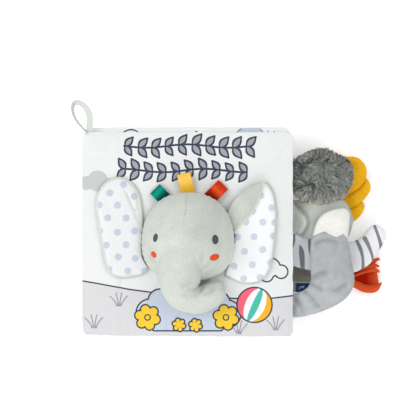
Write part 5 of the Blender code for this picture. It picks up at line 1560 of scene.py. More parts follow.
SEAM_HALF_WIDTH = 0.09
SEAM_HALF_GAP = 0.01
GREY_ROWS = 150
GREY_TIP_ROWS = 90
GREY_SIDES = 96
GREY_LUMPS = {"height": 0.0005, "length": 0.026}
GREY_TONE_AND_PAINTED_LIGHT = {
    "drift": 0.07, "drift_length": 0.012, "light": 0.10, "light_row": 276, "light_over": 0.012,
    "crease": 0.24, "crease_width": 0.0017,
}
TIP_ROUGHNESS = 0.7
PATH_STEPS = 1200
LIMB_END = 0.0004


def level_spot(px, py, z):
    """The place at height z that the camera sees at a pixel."""
    x, y = spot(px, py)
    nearer = (COVER_TOP + CAMERA_HEIGHT - z) / CAMERA_HEIGHT
    return VIEW_CENTRE_X + (x - VIEW_CENTRE_X) * nearer, VIEW_CENTRE_Y + (y - VIEW_CENTRE_Y) * nearer


def level_x(pixel, z):
    """How far right a pixel's column is seen at height z."""
    return level_spot(pixel, 0, z)[0]


def paired_limb(pairs, rows, angle, start=0.0, end=None, box_share=2.4):
    """Rings between a left and a right edge, each a full oval of a given half height.

    Each pair holds the two edges in pixels, then the middle's height and the half height.
    start and end are rows' places along the pairs, and may differ round the ring.
    """
    table = [
        (*level_spot(*pair[0:2], pair[4]), *level_spot(*pair[2:4], pair[4]), *pair[4:6])
        for pair in pairs
    ]
    fine = smooth_path(table, PATH_STEPS + 1)
    last = len(pairs) - 1
    end = last if end is None else end
    share = np.sin(np.linspace(0, 1, rows) * math.pi / 2)[:, None]
    place = start + (end - start) * share + 0 * angle[None]
    step = np.clip(place / last * PATH_STEPS, 0, PATH_STEPS)
    row = np.stack([np.interp(step, np.arange(PATH_STEPS + 1), column) for column in fine.T], -1)
    round_x, round_z = (
        np.sign(wave) * np.abs(wave) ** (2 / box_share) for wave in (np.cos(angle), np.sin(angle))
    )
    tip = np.sqrt(np.clip(1 - np.clip(place - last + 1, 0, 1) ** 2, LIMB_END, 1))
    centre = (row[..., 0:2] + row[..., 2:4]) / 2
    across = (row[..., 2:4] - row[..., 0:2]) / 2
    flat = centre + across * (round_x[None] * tip)[..., None]
    height = row[..., 4] + row[..., 5] * round_z[None] * tip
    return np.concatenate([flat, height[..., None]], -1), place


grey_angle = ring_angles(GREY_SIDES)
seam_place = np.interp(np.cos(grey_angle), *zip(*ZIGZAG))


def grey_relief(points, place):
    """Move the upper side by soft lumps and creases, and draw both sides in at the seam."""
    x, y, z = points[..., 0], points[..., 1], points[..., 2]
    upper = smooth_step(np.sin(grey_angle)[None] * 2 + 0 * x)
    seam = bell(place - seam_place, SEAM_HALF_WIDTH) * SEAM_DEPTH * np.sin(grey_angle)[None]
    creases = GREY_CREASE_DEPTH * crease_depth(x, y, GREY_CREASES, GREY_CREASE_WIDTH)
    lumps = GREY_LUMPS["height"] * soft_noise(x, y, GREY_LUMPS["length"], 61)
    return np.stack([x, y, z + (lumps - creases) * upper - seam], -1)


body_end, tip_start = seam_place - SEAM_HALF_GAP, seam_place + SEAM_HALF_GAP
points, place = paired_limb(GREY_PAIRS, GREY_ROWS, grey_angle, end=body_end)
grey_body = tube_piece("grey_tail_velour", grey_relief(points, place))
grey_x, grey_y = points[..., 0], points[..., 1]
# The grey velour's tone drifts at random; on top of that it is painted lighter low down, as painted
# light, and darker in its creases, as painted shade.
drift = soft_noise(grey_x, grey_y, GREY_TONE_AND_PAINTED_LIGHT["drift_length"], 62)
below = spot_y(GREY_TONE_AND_PAINTED_LIGHT["light_row"]) - grey_y
in_creases = crease_depth(grey_x, grey_y, GREY_CREASES, GREY_TONE_AND_PAINTED_LIGHT["crease_width"])
grey_tone_and_painted_light = GREY_TONE_AND_PAINTED_LIGHT["drift"] * drift
grey_tone_and_painted_light += GREY_TONE_AND_PAINTED_LIGHT["light"] * smooth_step(below / GREY_TONE_AND_PAINTED_LIGHT["light_over"])
put_field(grey_body, "tone_and_painted_light", grey_tone_and_painted_light - GREY_TONE_AND_PAINTED_LIGHT["crease"] * in_creases)
grey_velour = velour_material("grey_tail_velour", TAIL_GREY)
dress(grey_body, grey_velour, "grey_tail", "grey_tail_body")
points, place = paired_limb(GREY_PAIRS, GREY_TIP_ROWS, grey_angle, tip_start)
grey_tip = tube_piece("grey_tail_cream_tip", grey_relief(points, place))
cream_velour = velour_material("cream_velour", TIP_CREAM, TIP_ROUGHNESS)
dress(grey_tip, cream_velour, "grey_tail", "grey_tail_tip")

# The striped tail is a flat stuffed tube of printed cloth, sewn into the second leaf. Its
# grey stripes are dyed, narrower towards one end.
STRIPE_GROUND = (0.840, 0.850, 0.880)
STRIPE_GREY = (0.215, 0.215, 0.255)
STRIPED_PAIRS = (
    (290.3, 236.0, 290.3, 264.0, 0.0211, 0.0012), (296.0, 233.6, 296.0, 266.8, 0.0205, 0.0024),
    (309.0, 236.8, 309.0, 270.0, 0.0190, 0.0032), (325.0, 240.0, 325.0, 272.5, 0.0178, 0.0034),
    (340.0, 242.0, 342.0, 273.6, 0.0175, 0.0036), (349.0, 241.8, 354.5, 272.2, 0.0175, 0.0038),
    (355.5, 240.4, 361.5, 269.0, 0.0175, 0.0038), (360.5, 237.2, 367.6, 265.7, 0.0175, 0.0038),
    (364.3, 233.4, 372.6, 260.5, 0.0175, 0.0036), (367.6, 229.4, 377.4, 252.5, 0.0175, 0.0034),
    (371.2, 226.0, 383.0, 244.6, 0.0175, 0.0030), (375.6, 224.6, 385.9, 237.4, 0.0175, 0.0024),
    (380.4, 225.8, 386.2, 231.4, 0.0175, 0.0014),
)
STRIPES = (
    ((356.6, 240.8, 1.5), (360.0, 248.4, 1.9), (362.4, 257.6, 1.5), (363.0, 269.5, 1.8)),
    ((364.6, 238.4, 2.3), (368.2, 245.4, 1.9), (371.9, 255.4, 1.4), (373.0, 262.4, 1.2)),
    ((374.6, 226.4, 1.6), (378.2, 236.6, 1.6), (380.9, 246.3, 1.9), (379.8, 253.0, 1.6)),
    ((299.4, 244.4, 0.3), (301.3, 252.3, 2.7), (302.5, 268.5, 2.2), (302.7, 272.0, 2.0)),
    ((309.2, 236.0, 0.8), (309.4, 246.0, 1.6), (311.0, 258.0, 1.2), (312.0, 268.0, 0.4)),
    ((293.2, 233.0, 1.6), (293.6, 240.0, 1.5), (293.0, 247.0, 0.4)),
    ((322.0, 238.0, 1.8), (325.0, 250.0, 2.4), (326.0, 262.0, 1.8), (327.0, 274.0, 1.4)),
    ((338.0, 240.0, 1.8), (341.0, 252.0, 2.0), (343.0, 264.0, 1.6), (344.0, 276.0, 1.6)),
)
STRIPE_LEVEL = 0.0175
STRIPE_BLUR = 0.0002
STRIPE_POINTS = 24
STRIPED_BOX = 2.2
STRIPED_ROWS = 190
STRIPED_SIDES = 120
STRIPED_LUMPS = {"height": 0.0004, "length": 0.024}
STRIPED_ROUGHNESS = 0.6
STRIPED_SHEEN = 0.15
STRIPED_MOTTLE = (70.0, 0.03)
STRIPED_WEAVE = (0.0005, 0.00005)


def stripes_field(x, y, z):
    """Above zero inside a stripe: its half width there minus the distance to its middle line."""
    field = np.full_like(x, -1.0)
    for stripe in STRIPES:
        line = [(*level_spot(px, py, z), half * PIXEL) for px, py, half in stripe]
        line = smooth_path(line, STRIPE_POINTS)
        gap = np.hypot(x[..., None] - line[:, 0], y[..., None] - line[:, 1])
        nearest = gap.argmin(axis=-1)
        field = np.maximum(field, line[nearest, 2] - gap.min(axis=-1))
    return field


striped_cloth, striped_shader = plain_material("striped_cloth", STRIPE_GROUND, STRIPED_ROUGHNESS)
stripes = print_layer(striped_cloth, "print_stripes", STRIPE_GROUND, STRIPE_GREY, blur=STRIPE_BLUR)
shade = mottled(striped_cloth, stripes, *STRIPED_MOTTLE)
fill_inputs(striped_cloth, striped_shader, {"Base Color": shade, "Sheen Weight": STRIPED_SHEEN})
weave_bump(striped_cloth, striped_shader, *STRIPED_WEAVE)

striped_angle = ring_angles(STRIPED_SIDES)
points, _ = paired_limb(STRIPED_PAIRS, STRIPED_ROWS, striped_angle, box_share=STRIPED_BOX)
striped_x, striped_y = points[..., 0], points[..., 1]
upper_side = smooth_step(np.sin(striped_angle) * 2)
lumps = soft_noise(striped_x, striped_y, STRIPED_LUMPS["length"], 66)
points[..., 2] += STRIPED_LUMPS["height"] * lumps * upper_side
striped = tube_piece("striped_tail_cloth", points)
put_field(striped, "print_stripes", stripes_field(striped_x, striped_y, STRIPE_LEVEL))
dress(striped, striped_cloth, "striped_tail", "striped_tail")

# The tufted tail has a grey-green velour base, sewn into the second leaf, whose left side
# tucks under in a fold. Long grey pile, cut from fur cloth, covers its outer half.
BASE_VELOUR = (0.490, 0.525, 0.480)
BASE_PIXELS = (
    (290.6, 203.0), (300.0, 200.0), (320.0, 197.0), (336.0, 196.0), (344.2, 200.8), (349.4, 207.8),
    (352.7, 217.2), (352.8, 224.0), (350.8, 232.0), (347.0, 238.6), (338.0, 242.0), (325.0, 242.6),
    (312.0, 239.6), (305.0, 237.3), (299.0, 234.7), (293.8, 231.4), (290.6, 228.0),
)
BASE_CENTRE_PIXEL = (323.0, 219.0)
BASE_PAD = {"middle": 0.0262, "half": 0.0052, "root": 0.02115}
BASE_FOLD = (
    (292.0, 200.0), (297.9, 207.8), (304.4, 214.9), (307.4, 222.4), (304.6, 230.0), (300.0, 236.0),
)
BASE_FOLD_LEVEL = 0.027
FOLD_POINTS = 40
FOLD_DIP = {"width": 0.0022, "depth": 0.0026, "slope": 0.0012, "slope_width": 0.009}
FOLD_PAINTED_LIGHT = {"left": 0.34, "left_over": 0.002, "dip": 0.22, "dip_width": 0.0026}
BASE_LUMPS = {"height": 0.0004, "length": 0.03}
FUR_PIXELS = (
    (291.0, 163.0), (297.7, 158.2), (303.5, 154.2), (310.5, 150.8), (319.7, 148.8), (327.8, 149.6),
    (334.8, 153.6), (341.7, 156.0), (348.0, 160.0), (351.0, 165.0), (353.0, 172.0), (352.0, 179.0),
    (350.4, 186.0), (347.0, 192.6), (342.6, 198.6), (334.8, 201.4), (325.5, 204.0), (315.1, 205.2),
    (305.8, 203.4), (298.9, 198.6), (292.4, 191.0), (291.0, 176.0),
)
FUR_CENTRE_PIXEL = (322.0, 177.0)
FUR_PAD = {"middle": 0.0272, "half": 0.0052, "root": 0.0240}
FUR_LEVEL = 0.028
TAIL_ROOT_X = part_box("striped_tail")[0][0]
ROOT_RISE = 0.022
ROOT_SHARE = 0.15
PAD_EDGE = 0.0003
PAD_POWER = 2.6
PAD_CLOSENESS = 0.9
FUR_BACKING = (0.95, 300.0, 0.25)
FUR_ROUGHNESS = 0.55
FUR_SHEEN = 0.3
FUR_MOTTLE = (500.0, 0.12)
FUR_ROOT = (0.045, 0.052, 0.048)
FUR_MIDDLE = (0.330, 0.342, 0.308)
FUR_LIGHT = (0.730, 0.720, 0.650)
FUR_WARMTH = (1.17, 1.10, 0.98)
FUR_PILES = {"fur_pile_low": (7000, 81, 0.92), "fur_pile_high": (7000, 85, 0.88)}
FUR_UNDER_PILE = {"fur_pile_under": (3500, 89, 0.92)}
FUR_LOCKS = 430
FUR_LENGTH = 0.0085
FUR_WIDTH = 0.00042
FUR_TIP_WIDTH = 0.00006
FUR_HEIGHT = 0.0050
FUR_ROOT_DEPTH = 0.0008
FUR_RISE = 0.0034
FUR_RIM_DROP = {"depth": 0.0032, "from": 0.66, "over": 0.26, "power": 1.5}
FUR_ARCH = 0.86
FUR_TAPER = 1.8
FUR_FLATNESS = 0.7
FUR_RISES = (0.8, 1.15)
FUR_UNDER_RISE = 0.0006
FUR_GAP = 0.0002
STRAND_PLACES = np.array([[0.0, 0.34, 0.70, 1.0]])
STRAND_SIDES = 4
LOCK_REACH = 0.0017
LOCK_GATHER = 0.25
LOCK_TIP_SPREAD = 0.00045
LOCK_SWING = {"turn": 0.55, "length": 0.014, "spread": 0.34}
LOCK_LENGTHS = (0.75, 1.15)
LOCK_RIM_CUT = {"share": 0.48, "from": 0.58, "over": 0.34}
LOCK_CURL = 0.22
LOCK_RISES = (0.5, 1.15)
LOCK_DRIFT = (0.45, -0.42)
LOCK_WHORLS = (((312.0, 184.0), 1.0), ((331.0, 166.0), -0.7))
WHORL_REACH = 0.018
WHORL_LEAST = 0.002
WHORL_PULLS = {"around": 1.3, "away": 0.6}
RIM_PULL = {"share": 1.8, "from": 0.50, "over": 0.4}
TONE = {
    "locks": 0.13, "drift": 0.16, "drift_length": 0.016, "strands": 0.07, "apart": 0.42,
    "fringe": 0.62, "rim": 0.05,
}
STRAND_SHADES = (0.12, 0.88, 0.8)
FRINGE = {"below": 0.006, "over": 0.010, "reach": 0.60, "reach_over": 0.22}
FUR_CLEARANCE = 0.0008
TUFT_PIVOT_Y = 0.0108
TUFT_SWING_IN = math.radians(3.0)


def level_path(pixels, z, count, closed=False):
    """A smooth curve at height z through places given in pixels."""
    return smooth_path([level_spot(*pixel, z) for pixel in pixels], count, closed)


def pad_profile(x, reach, middle, half, root=None, power=PAD_POWER):
    """Middle height of a tail's pad, and its half thickness: half times (1 - reach^power)^0.5.

    root gives the leaf's seam height, where the pad starts thin and level with the seam.
    """
    risen = np.ones_like(x) if root is None else smooth_step((x - TAIL_ROOT_X) / ROOT_RISE)
    thick = PAD_EDGE + half * fullness(reach, power) * (ROOT_SHARE + (1 - ROOT_SHARE) * risen)
    return middle * risen + (root or 0.0) * (1 - risen), thick


def tail_pillow(name, pixels, centre_pixel, pad, rings=40, sides=180, power=PAD_POWER, relief=None):
    """A stuffed pad inside a pixel outline; relief lifts its upper side."""
    middle = pad["middle"]
    line = anticlockwise(level_path(pixels, middle, sides, closed=True))
    centre = np.array(level_spot(*centre_pixel, middle))
    x, y, reach = round_grid(line, centre, rings, PAD_CLOSENESS)
    centre, full = pad_profile(x, reach, **pad, power=power)
    lift = relief(x, y, reach) if relief else 0.0
    return pillow(name, x, y, centre + full + lift, centre - full)


def fold_side(x, y):
    """Distance from the tuft base's fold, and above zero on its right side."""
    return line_side(x, y, level_path(BASE_FOLD, BASE_FOLD_LEVEL, FOLD_POINTS))


def base_relief(x, y, reach):
    """A fold that bulges on its left side and dips on its right, and soft lumps."""
    away, side = fold_side(x, y)
    dip = bell(away, FOLD_DIP["width"]) * FOLD_DIP["depth"]
    dip = dip + np.exp(-away / FOLD_DIP["slope_width"]) * FOLD_DIP["slope"] * (side > 0)
    lumps = BASE_LUMPS["height"] * soft_noise(x, y, BASE_LUMPS["length"], 71)
    return (lumps - dip) * fullness(reach, 6, 1)


base = tail_pillow("tuft_base_velour", BASE_PIXELS, BASE_CENTRE_PIXEL, BASE_PAD, relief=base_relief)
# Painted light on the fold's left side and painted shade in the dip on its right.
away, side = fold_side(*np.array([vertex.co[:2] for vertex in base.data.vertices]).T)
left_light = FOLD_PAINTED_LIGHT["left"] * (side < 0) * smooth_step(away / FOLD_PAINTED_LIGHT["left_over"])
painted_dip_shade = FOLD_PAINTED_LIGHT["dip"] * (side > 0) * bell(away, FOLD_PAINTED_LIGHT["dip_width"])
put_field(base, "tone_and_painted_light", left_light - painted_dip_shade)
base_velour = velour_material("tuft_base_velour", BASE_VELOUR)
dress(base, base_velour, "tuft_tail", "tuft_tail_base")

fur_back = tail_pillow("fur_cloth", FUR_PIXELS, FUR_CENTRE_PIXEL, FUR_PAD)
fur_backing = mottled_material("fur_backing", FUR_ROOT, *FUR_BACKING)
dress(fur_back, fur_backing, "tuft_tail", "tuft_tail_fur")
FUR_LINE = level_path(FUR_PIXELS, FUR_LEVEL, 240, closed=True)
FUR_CENTRE = np.array(level_spot(*FUR_CENTRE_PIXEL, FUR_LEVEL))


def rim_distance(turn, line, centre):
    """Distance from a centre to the closed line around it, in the given directions."""
    off = line - centre
    angles = np.arctan2(off[:, 1], off[:, 0])
    return np.interp(turn, angles, np.hypot(off[:, 0], off[:, 1]), period=math.tau)


def fur_scatter(draw, count, spread):
    """Random places on the fur cloth, even over its area, and how far out each lies."""
    turn = draw.uniform(-math.pi, math.pi, count)
    reach = np.sqrt(draw.uniform(0, 1, count)) * spread
    away = (reach * rim_distance(turn, FUR_LINE, FUR_CENTRE))[:, None]
    return FUR_CENTRE + np.stack([np.cos(turn), np.sin(turn)], -1) * away, reach


def fur_flow(places, reach):
    """The way the pile lies: a drift, two whorls that fade outwards, and outwards near the rim."""
    flow = np.zeros(places.shape) + LOCK_DRIFT
    for pixel, spin in LOCK_WHORLS:
        away = places - level_spot(*pixel, FUR_LEVEL)
        gap = np.linalg.norm(away, axis=1, keepdims=True)
        around = np.stack([away[:, 1], -away[:, 0]], -1) * spin
        pull = around * WHORL_PULLS["around"] + away * WHORL_PULLS["away"]
        flow += pull / np.maximum(gap, WHORL_LEAST) * np.exp(-gap / WHORL_REACH)
    off = places - FUR_CENTRE
    outwards = off / np.maximum(np.linalg.norm(off, axis=1, keepdims=True), 1e-6)
    near_rim = smooth_step((reach - RIM_PULL["from"]) / RIM_PULL["over"])
    return flow + outwards * (RIM_PULL["share"] * near_rim)[:, None]


def fur_strands(name, count, seed, spread, under=False):
    """Tapered four-sided strands gathered in locks that swirl over the pad.

    A lock has a random root and a heading from the flow. A strand joins the nearest lock:
    its tip is drawn to the lock's tip, and it lies lower the further it starts from the
    lock's middle, where it is also painted darker as shade between the locks. No point lies
    nearer the leaf above than the tail's swing towards that leaf leaves room for.
    """
    draw = np.random.default_rng(seed)
    lock_root, lock_reach = fur_scatter(draw, FUR_LOCKS, spread)
    flow = fur_flow(lock_root, lock_reach)
    swing = LOCK_SWING["turn"] * soft_noise(*lock_root.T, LOCK_SWING["length"], seed + 2)
    swing = swing + draw.normal(0, LOCK_SWING["spread"], FUR_LOCKS)
    heading = np.arctan2(flow[:, 1], flow[:, 0]) + swing
    lock_length = FUR_LENGTH * draw.uniform(*LOCK_LENGTHS, FUR_LOCKS)
    near_rim = smooth_step((lock_reach - LOCK_RIM_CUT["from"]) / LOCK_RIM_CUT["over"])
    lock_length *= 1 - LOCK_RIM_CUT["share"] * near_rim
    lock_tip = lock_root + np.stack([np.cos(heading), np.sin(heading)], -1) * lock_length[:, None]
    lock_curl = draw.normal(0, LOCK_CURL, FUR_LOCKS)
    lock_rise = draw.uniform(*LOCK_RISES, FUR_LOCKS)
    lock_tone = 0.50 + draw.normal(0, TONE["locks"], FUR_LOCKS)

    root, reach = fur_scatter(draw, count, spread)
    near = ((root[:, None] - lock_root[None]) ** 2).sum(-1).argmin(1)
    aside = root - lock_root[near]
    apart = np.clip(np.linalg.norm(aside, axis=1) / LOCK_REACH, 0, 1)
    tip = lock_tip[near] + aside * LOCK_GATHER + draw.normal(0, LOCK_TIP_SPREAD, (count, 2))
    span = tip - root
    side = np.stack([-span[:, 1], span[:, 0]], -1)
    side /= np.maximum(np.linalg.norm(span, axis=1, keepdims=True), 1e-6)
    share = STRAND_PLACES
    bow = (lock_curl[near] * lock_length[near])[:, None] * np.sin(math.pi * share)
    flat = root[:, None] + span[:, None] * share[..., None] + side[:, None] * bow[..., None]
    swing_room = np.maximum(flat[..., 1] - TUFT_PIVOT_Y, 0) * math.sin(TUFT_SWING_IN)
    leaf_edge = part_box("leaf_1_upper_cloth")[1][0]
    flat[..., 0] = np.maximum(flat[..., 0], leaf_edge + FUR_CLEARANCE + swing_room)
    rise = FUR_RISE * lock_rise[near] * (1 - 0.5 * apart) * draw.uniform(*FUR_RISES, count)
    if under:
        centre, half = pad_profile(flat[..., 0], reach[:, None], **FUR_PAD)
        level = centre - half - FUR_GAP - FUR_UNDER_RISE * np.sin(math.pi * share)
        level = np.maximum(level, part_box("tuft_tail_fur")[0][2] + FUR_GAP)
    else:
        pad = (FUR_PAD["middle"] + FUR_HEIGHT * fullness(reach, PAD_POWER))[:, None]
        level = pad - FUR_ROOT_DEPTH + rise[:, None] * np.sin(math.pi * share * FUR_ARCH)
        near_rim = smooth_step((reach - FUR_RIM_DROP["from"]) / FUR_RIM_DROP["over"])[:, None]
        level -= FUR_RIM_DROP["depth"] * near_rim * share ** FUR_RIM_DROP["power"]
    core = np.concatenate([flat, level[..., None]], -1)
    thick = FUR_WIDTH * (1 - share ** FUR_TAPER) + FUR_TIP_WIDTH + 0 * reach[:, None]
    ring = np.arange(STRAND_SIDES) / STRAND_SIDES * math.tau
    wide = side[:, None, None] * (thick[..., None] * np.cos(ring))[..., None]
    high = (thick[..., None] * np.sin(ring) * FUR_FLATNESS)[..., None]
    points = core[:, :, None] + np.concatenate([wide, high], -1)
    sides = grid_faces(share.size, STRAND_SIDES, wrap=True)
    strand = np.concatenate([sides, [[3, 2, 1, 0], [12, 13, 14, 15]]])
    first_point = np.arange(count) * share.size * STRAND_SIDES
    faces = (strand[None] + first_point[:, None, None]).reshape(-1, 4)
    piece = put_mesh(name, points.reshape(-1, 3), faces)
    tone = lock_tone[near] + TONE["drift"] * soft_noise(*root.T, TONE["drift_length"], seed + 3)
    # Strands far from their lock's middle are painted darker, as shade in the gaps between locks.
    tone += draw.normal(0, TONE["strands"], count) - TONE["apart"] * apart ** 2
    fringe = smooth_step((FUR_CENTRE[1] - FRINGE["below"] - root[:, 1]) / FRINGE["over"])
    fringe = fringe * smooth_step((reach - FRINGE["reach"]) / FRINGE["reach_over"])
    tone = np.clip(tone + TONE["fringe"] * fringe + TONE["rim"] * reach, 0, 1)
    at_root, added, power = STRAND_SHADES
    shade = tone[:, None, None] * (at_root + added * share[..., None] ** power) + 0 * ring
    put_field(piece, "fur_tone", shade)
    put_field(piece, "fur_warmth", np.broadcast_to(fringe[:, None, None], shade.shape))
    return piece


fur_pile, fur_shader = plain_material("long_fur", FUR_MIDDLE, FUR_ROUGHNESS)
fur_ramp = add_node(fur_pile, "ShaderNodeValToRGB", {"Fac": attribute_value(fur_pile, "fur_tone")})
fur_ramp.color_ramp.elements[0].color = (*FUR_ROOT, 1)
fur_ramp.color_ramp.elements[1].color = (*FUR_LIGHT, 1)
fur_stop = fur_ramp.color_ramp.elements.new(0.5)
fur_stop.color = (*FUR_MIDDLE, 1)
fur_colour = fur_ramp.outputs[0]
warm_fur = mix_colour(fur_pile, 1.0, fur_colour, FUR_WARMTH, "MULTIPLY")
fur_colour = mix_colour(fur_pile, attribute_value(fur_pile, "fur_warmth"), fur_colour, warm_fur)
fill_inputs(fur_pile, fur_shader, {
    "Base Color": mottled(fur_pile, fur_colour, *FUR_MOTTLE),
    "Sheen Weight": FUR_SHEEN, "Specular IOR Level": 0.3,
})
for fur_name, pile in {**FUR_PILES, **FUR_UNDER_PILE}.items():
    strands = fur_strands(fur_name, *pile, fur_name in FUR_UNDER_PILE)
    dress(strands, fur_pile, "tuft_tail")

# The scalloped tail is three yellow velour petals, each lapping the next, on one root that
# is sewn into the third leaf.
PETAL_YELLOW = (0.960, 0.500, 0.012)
LEAF_3_SEAM = 0.0131
PETALS = {
    "petal_root": (
        ((290.6, 178), (300, 173), (312, 167), (326, 166), (336, 180), (333, 203), (322, 210),
         (308, 203), (298, 196), (290.6, 192)),
        (316, 187), {"middle": 0.0072, "half": 0.0042, "root": LEAF_3_SEAM},
    ),
    "petal_third": (
        ((322, 195), (338, 196), (352.2, 198), (362.0, 201.5), (364.6, 207), (361.2, 214.5),
         (355.2, 220.4), (348.2, 223.4), (338, 221), (326, 213), (318, 204)),
        (342, 209), {"middle": 0.0050, "half": 0.0040},
    ),
    "petal_second": (
        ((320, 182), (338, 177), (355.2, 174), (365.7, 177.6), (370.2, 184.5), (370.0, 191),
         (364.8, 198.6), (356.8, 205.2), (345.2, 210), (334, 210), (322, 202), (316, 192)),
        (344, 192), {"middle": 0.0078, "half": 0.0050},
    ),
    "petal_first": (
        ((316, 168), (332, 159), (346.2, 156.6), (356.8, 157.4), (363.6, 163), (366.8, 171),
         (365.2, 179.4), (358.8, 188), (348.2, 194.6), (338, 197), (325, 193), (314, 182)),
        (343, 176), {"middle": 0.0108, "half": 0.0054},
    ),
}
LAPPED_BY = {"petal_third": "petal_second", "petal_second": "petal_first"}
PETAL_POWER = 2.4
PETAL_LAP = {"from": 1.16, "over": 0.24, "depth": 0.8}
PETAL_LUMPS = {"height": 0.0005, "length": 0.026}
PETAL_PUCKERS = {"height": 0.00040, "length": 0.011, "from": 0.5, "over": 0.4}
PETAL_RINGS = 44
PETAL_SIDES = 200
RIM_POINTS = 240
TAIL_VELOUR = (1.0, 0.8)


def petal_relief(x, y, reach, half, above):
    """Soft lumps, puckers from the sewn rim, and a hollow where the next petal lies on this one.

    How far a place lies within the next petal is its distance from that petal's centre over
    the petal's reach in that direction.
    """
    near_rim = smooth_step((reach - PETAL_PUCKERS["from"]) / PETAL_PUCKERS["over"])
    puckers = soft_noise(x, y, PETAL_PUCKERS["length"], 93) * PETAL_PUCKERS["height"]
    puckers = puckers * near_rim * (1 - reach ** 8)
    lumps = PETAL_LUMPS["height"] * soft_noise(x, y, PETAL_LUMPS["length"], 92)
    lift = lumps * (1 - reach ** 6) + puckers
    if above:
        pixels, centre_pixel, pad = PETALS[above]
        centre = np.array(level_spot(*centre_pixel, pad["middle"]))
        rim = level_path(pixels, pad["middle"], RIM_POINTS, closed=True)
        off_x, off_y = x - centre[0], y - centre[1]
        within = np.hypot(off_x, off_y) / rim_distance(np.arctan2(off_y, off_x), rim, centre)
        pressed = smooth_step((PETAL_LAP["from"] - within) / PETAL_LAP["over"])
        lift = lift - pressed * PETAL_LAP["depth"] * half * fullness(reach, PETAL_POWER)
    return lift


yellow_velour = velour_material("yellow_velour", PETAL_YELLOW, *TAIL_VELOUR)
for petal_name, (pixels, centre_pixel, pad) in PETALS.items():
    petal = tail_pillow(
        petal_name, pixels, centre_pixel, pad, PETAL_RINGS, PETAL_SIDES, PETAL_POWER,
        lambda x, y, reach: petal_relief(x, y, reach, pad["half"], LAPPED_BY.get(petal_name)),
    )
    node = "scalloped_tail" if "root" in pad else None
    dress(petal, yellow_velour, "scalloped_tail", node)

# The flame tail is orange velour cut to tongues: a hollow middle with a rolled lip below
# and two above. Its root is sewn into the third leaf.
FLAME_ORANGE = (0.760, 0.095, 0.022)
# The hollow's dark red is painted shade inside the cup.
FLAME_INSIDE = (0.370, 0.008, 0.001)
FLAME_LIPS = {
    "flame_lower_lip": (
        (344.0, 274.0, 344.0, 282.0, 0.0066, 0.0024), (350.0, 277.4, 350.0, 285.8, 0.0070, 0.0034),
        (355.7, 280.0, 354.9, 288.2, 0.0070, 0.0040), (359.4, 281.6, 359.3, 290.6, 0.0070, 0.0042),
        (363.6, 283.5, 364.0, 292.4, 0.0070, 0.0042), (368.6, 284.7, 369.0, 293.0, 0.0070, 0.0042),
        (373.7, 284.6, 374.5, 292.6, 0.0070, 0.0040), (378.1, 283.5, 378.6, 290.0, 0.0070, 0.0036),
        (380.2, 282.6, 380.9, 285.6, 0.0070, 0.0026), (381.4, 281.8, 382.2, 283.0, 0.0070, 0.0014),
    ),
    "flame_middle_lip": (
        (344.0, 276.0, 344.0, 279.6, 0.0072, 0.0018), (351.0, 275.2, 351.0, 278.0, 0.0080, 0.0024),
        (357.0, 273.0, 357.2, 276.0, 0.0086, 0.0028), (363.2, 270.6, 363.4, 273.9, 0.0090, 0.0030),
        (368.7, 268.8, 368.9, 272.6, 0.0092, 0.0032), (374.0, 267.4, 373.4, 272.2, 0.0092, 0.0030),
        (378.0, 269.0, 376.6, 272.6, 0.0090, 0.0024), (380.4, 271.4, 379.2, 273.3, 0.0088, 0.0014),
    ),
    "flame_upper_lip": (
        (352.0, 270.0, 353.0, 274.0, 0.0066, 0.0018), (360.0, 267.6, 361.0, 271.6, 0.0074, 0.0022),
        (367.6, 264.8, 368.6, 270.0, 0.0080, 0.0026), (372.6, 262.9, 372.4, 268.2, 0.0082, 0.0026),
        (376.4, 263.6, 375.6, 267.4, 0.0082, 0.0022), (380.0, 266.0, 379.0, 267.8, 0.0080, 0.0012),
    ),
    "flame_small_tongue": (
        (362.0, 264.0, 364.0, 268.0, 0.0056, 0.0016), (369.6, 260.6, 371.4, 265.0, 0.0060, 0.0020),
        (374.6, 258.6, 375.6, 262.6, 0.0062, 0.0020), (378.0, 257.4, 378.4, 260.6, 0.0062, 0.0016),
        (380.4, 259.4, 380.0, 260.6, 0.0062, 0.0010),
    ),
}
FLAME_INSIDE_PIXELS = (
    (290.6, 251.0), (300.0, 252.0), (318.0, 257.0), (336.0, 262.0), (352.0, 266.0), (364.0, 267.0),
    (374.0, 268.4), (377.0, 272.6), (378.0, 278.0), (378.6, 284.4), (374.0, 288.4), (364.0, 288.4),
    (352.0, 284.0), (338.0, 277.6), (318.0, 268.0), (300.0, 259.6), (290.6, 258.0),
)
FLAME_CENTRE_PIXEL = (350.0, 274.0)
FLAME_PAD = {"middle": 0.0056, "half": 0.0030, "root": LEAF_3_SEAM}
FLAME_LEVEL = 0.006
FLAME_HOLLOW = 0.0010
FLAME_HOLLOW_COLUMN = 350
FLAME_HOLLOW_OVER = 0.012
FLAME_LIGHT_COLUMNS = (366, 378)
FLAME_ROUGHNESS = 0.8
FLAME_MOTTLE = (900.0, 0.12)
LIP_BOX = 2.1
LIP_ROWS = 90
LIP_SIDES = 48
LIP_LUMPS = {"height": 0.0002, "length": 0.010}


def inside_relief(x, y, reach):
    """The hollow between the lips, deepest at its middle."""
    right = smooth_step((x - level_x(FLAME_HOLLOW_COLUMN, FLAME_LEVEL)) / FLAME_HOLLOW_OVER)
    return -FLAME_HOLLOW * right * fullness(reach, 2, 1)


inside_velour, inside_shader = plain_material("flame_inside_velour", FLAME_INSIDE, FLAME_ROUGHNESS)
inside_place = add_node(inside_velour, "ShaderNodeSeparateXYZ", {"Vector": object_place(inside_velour)})
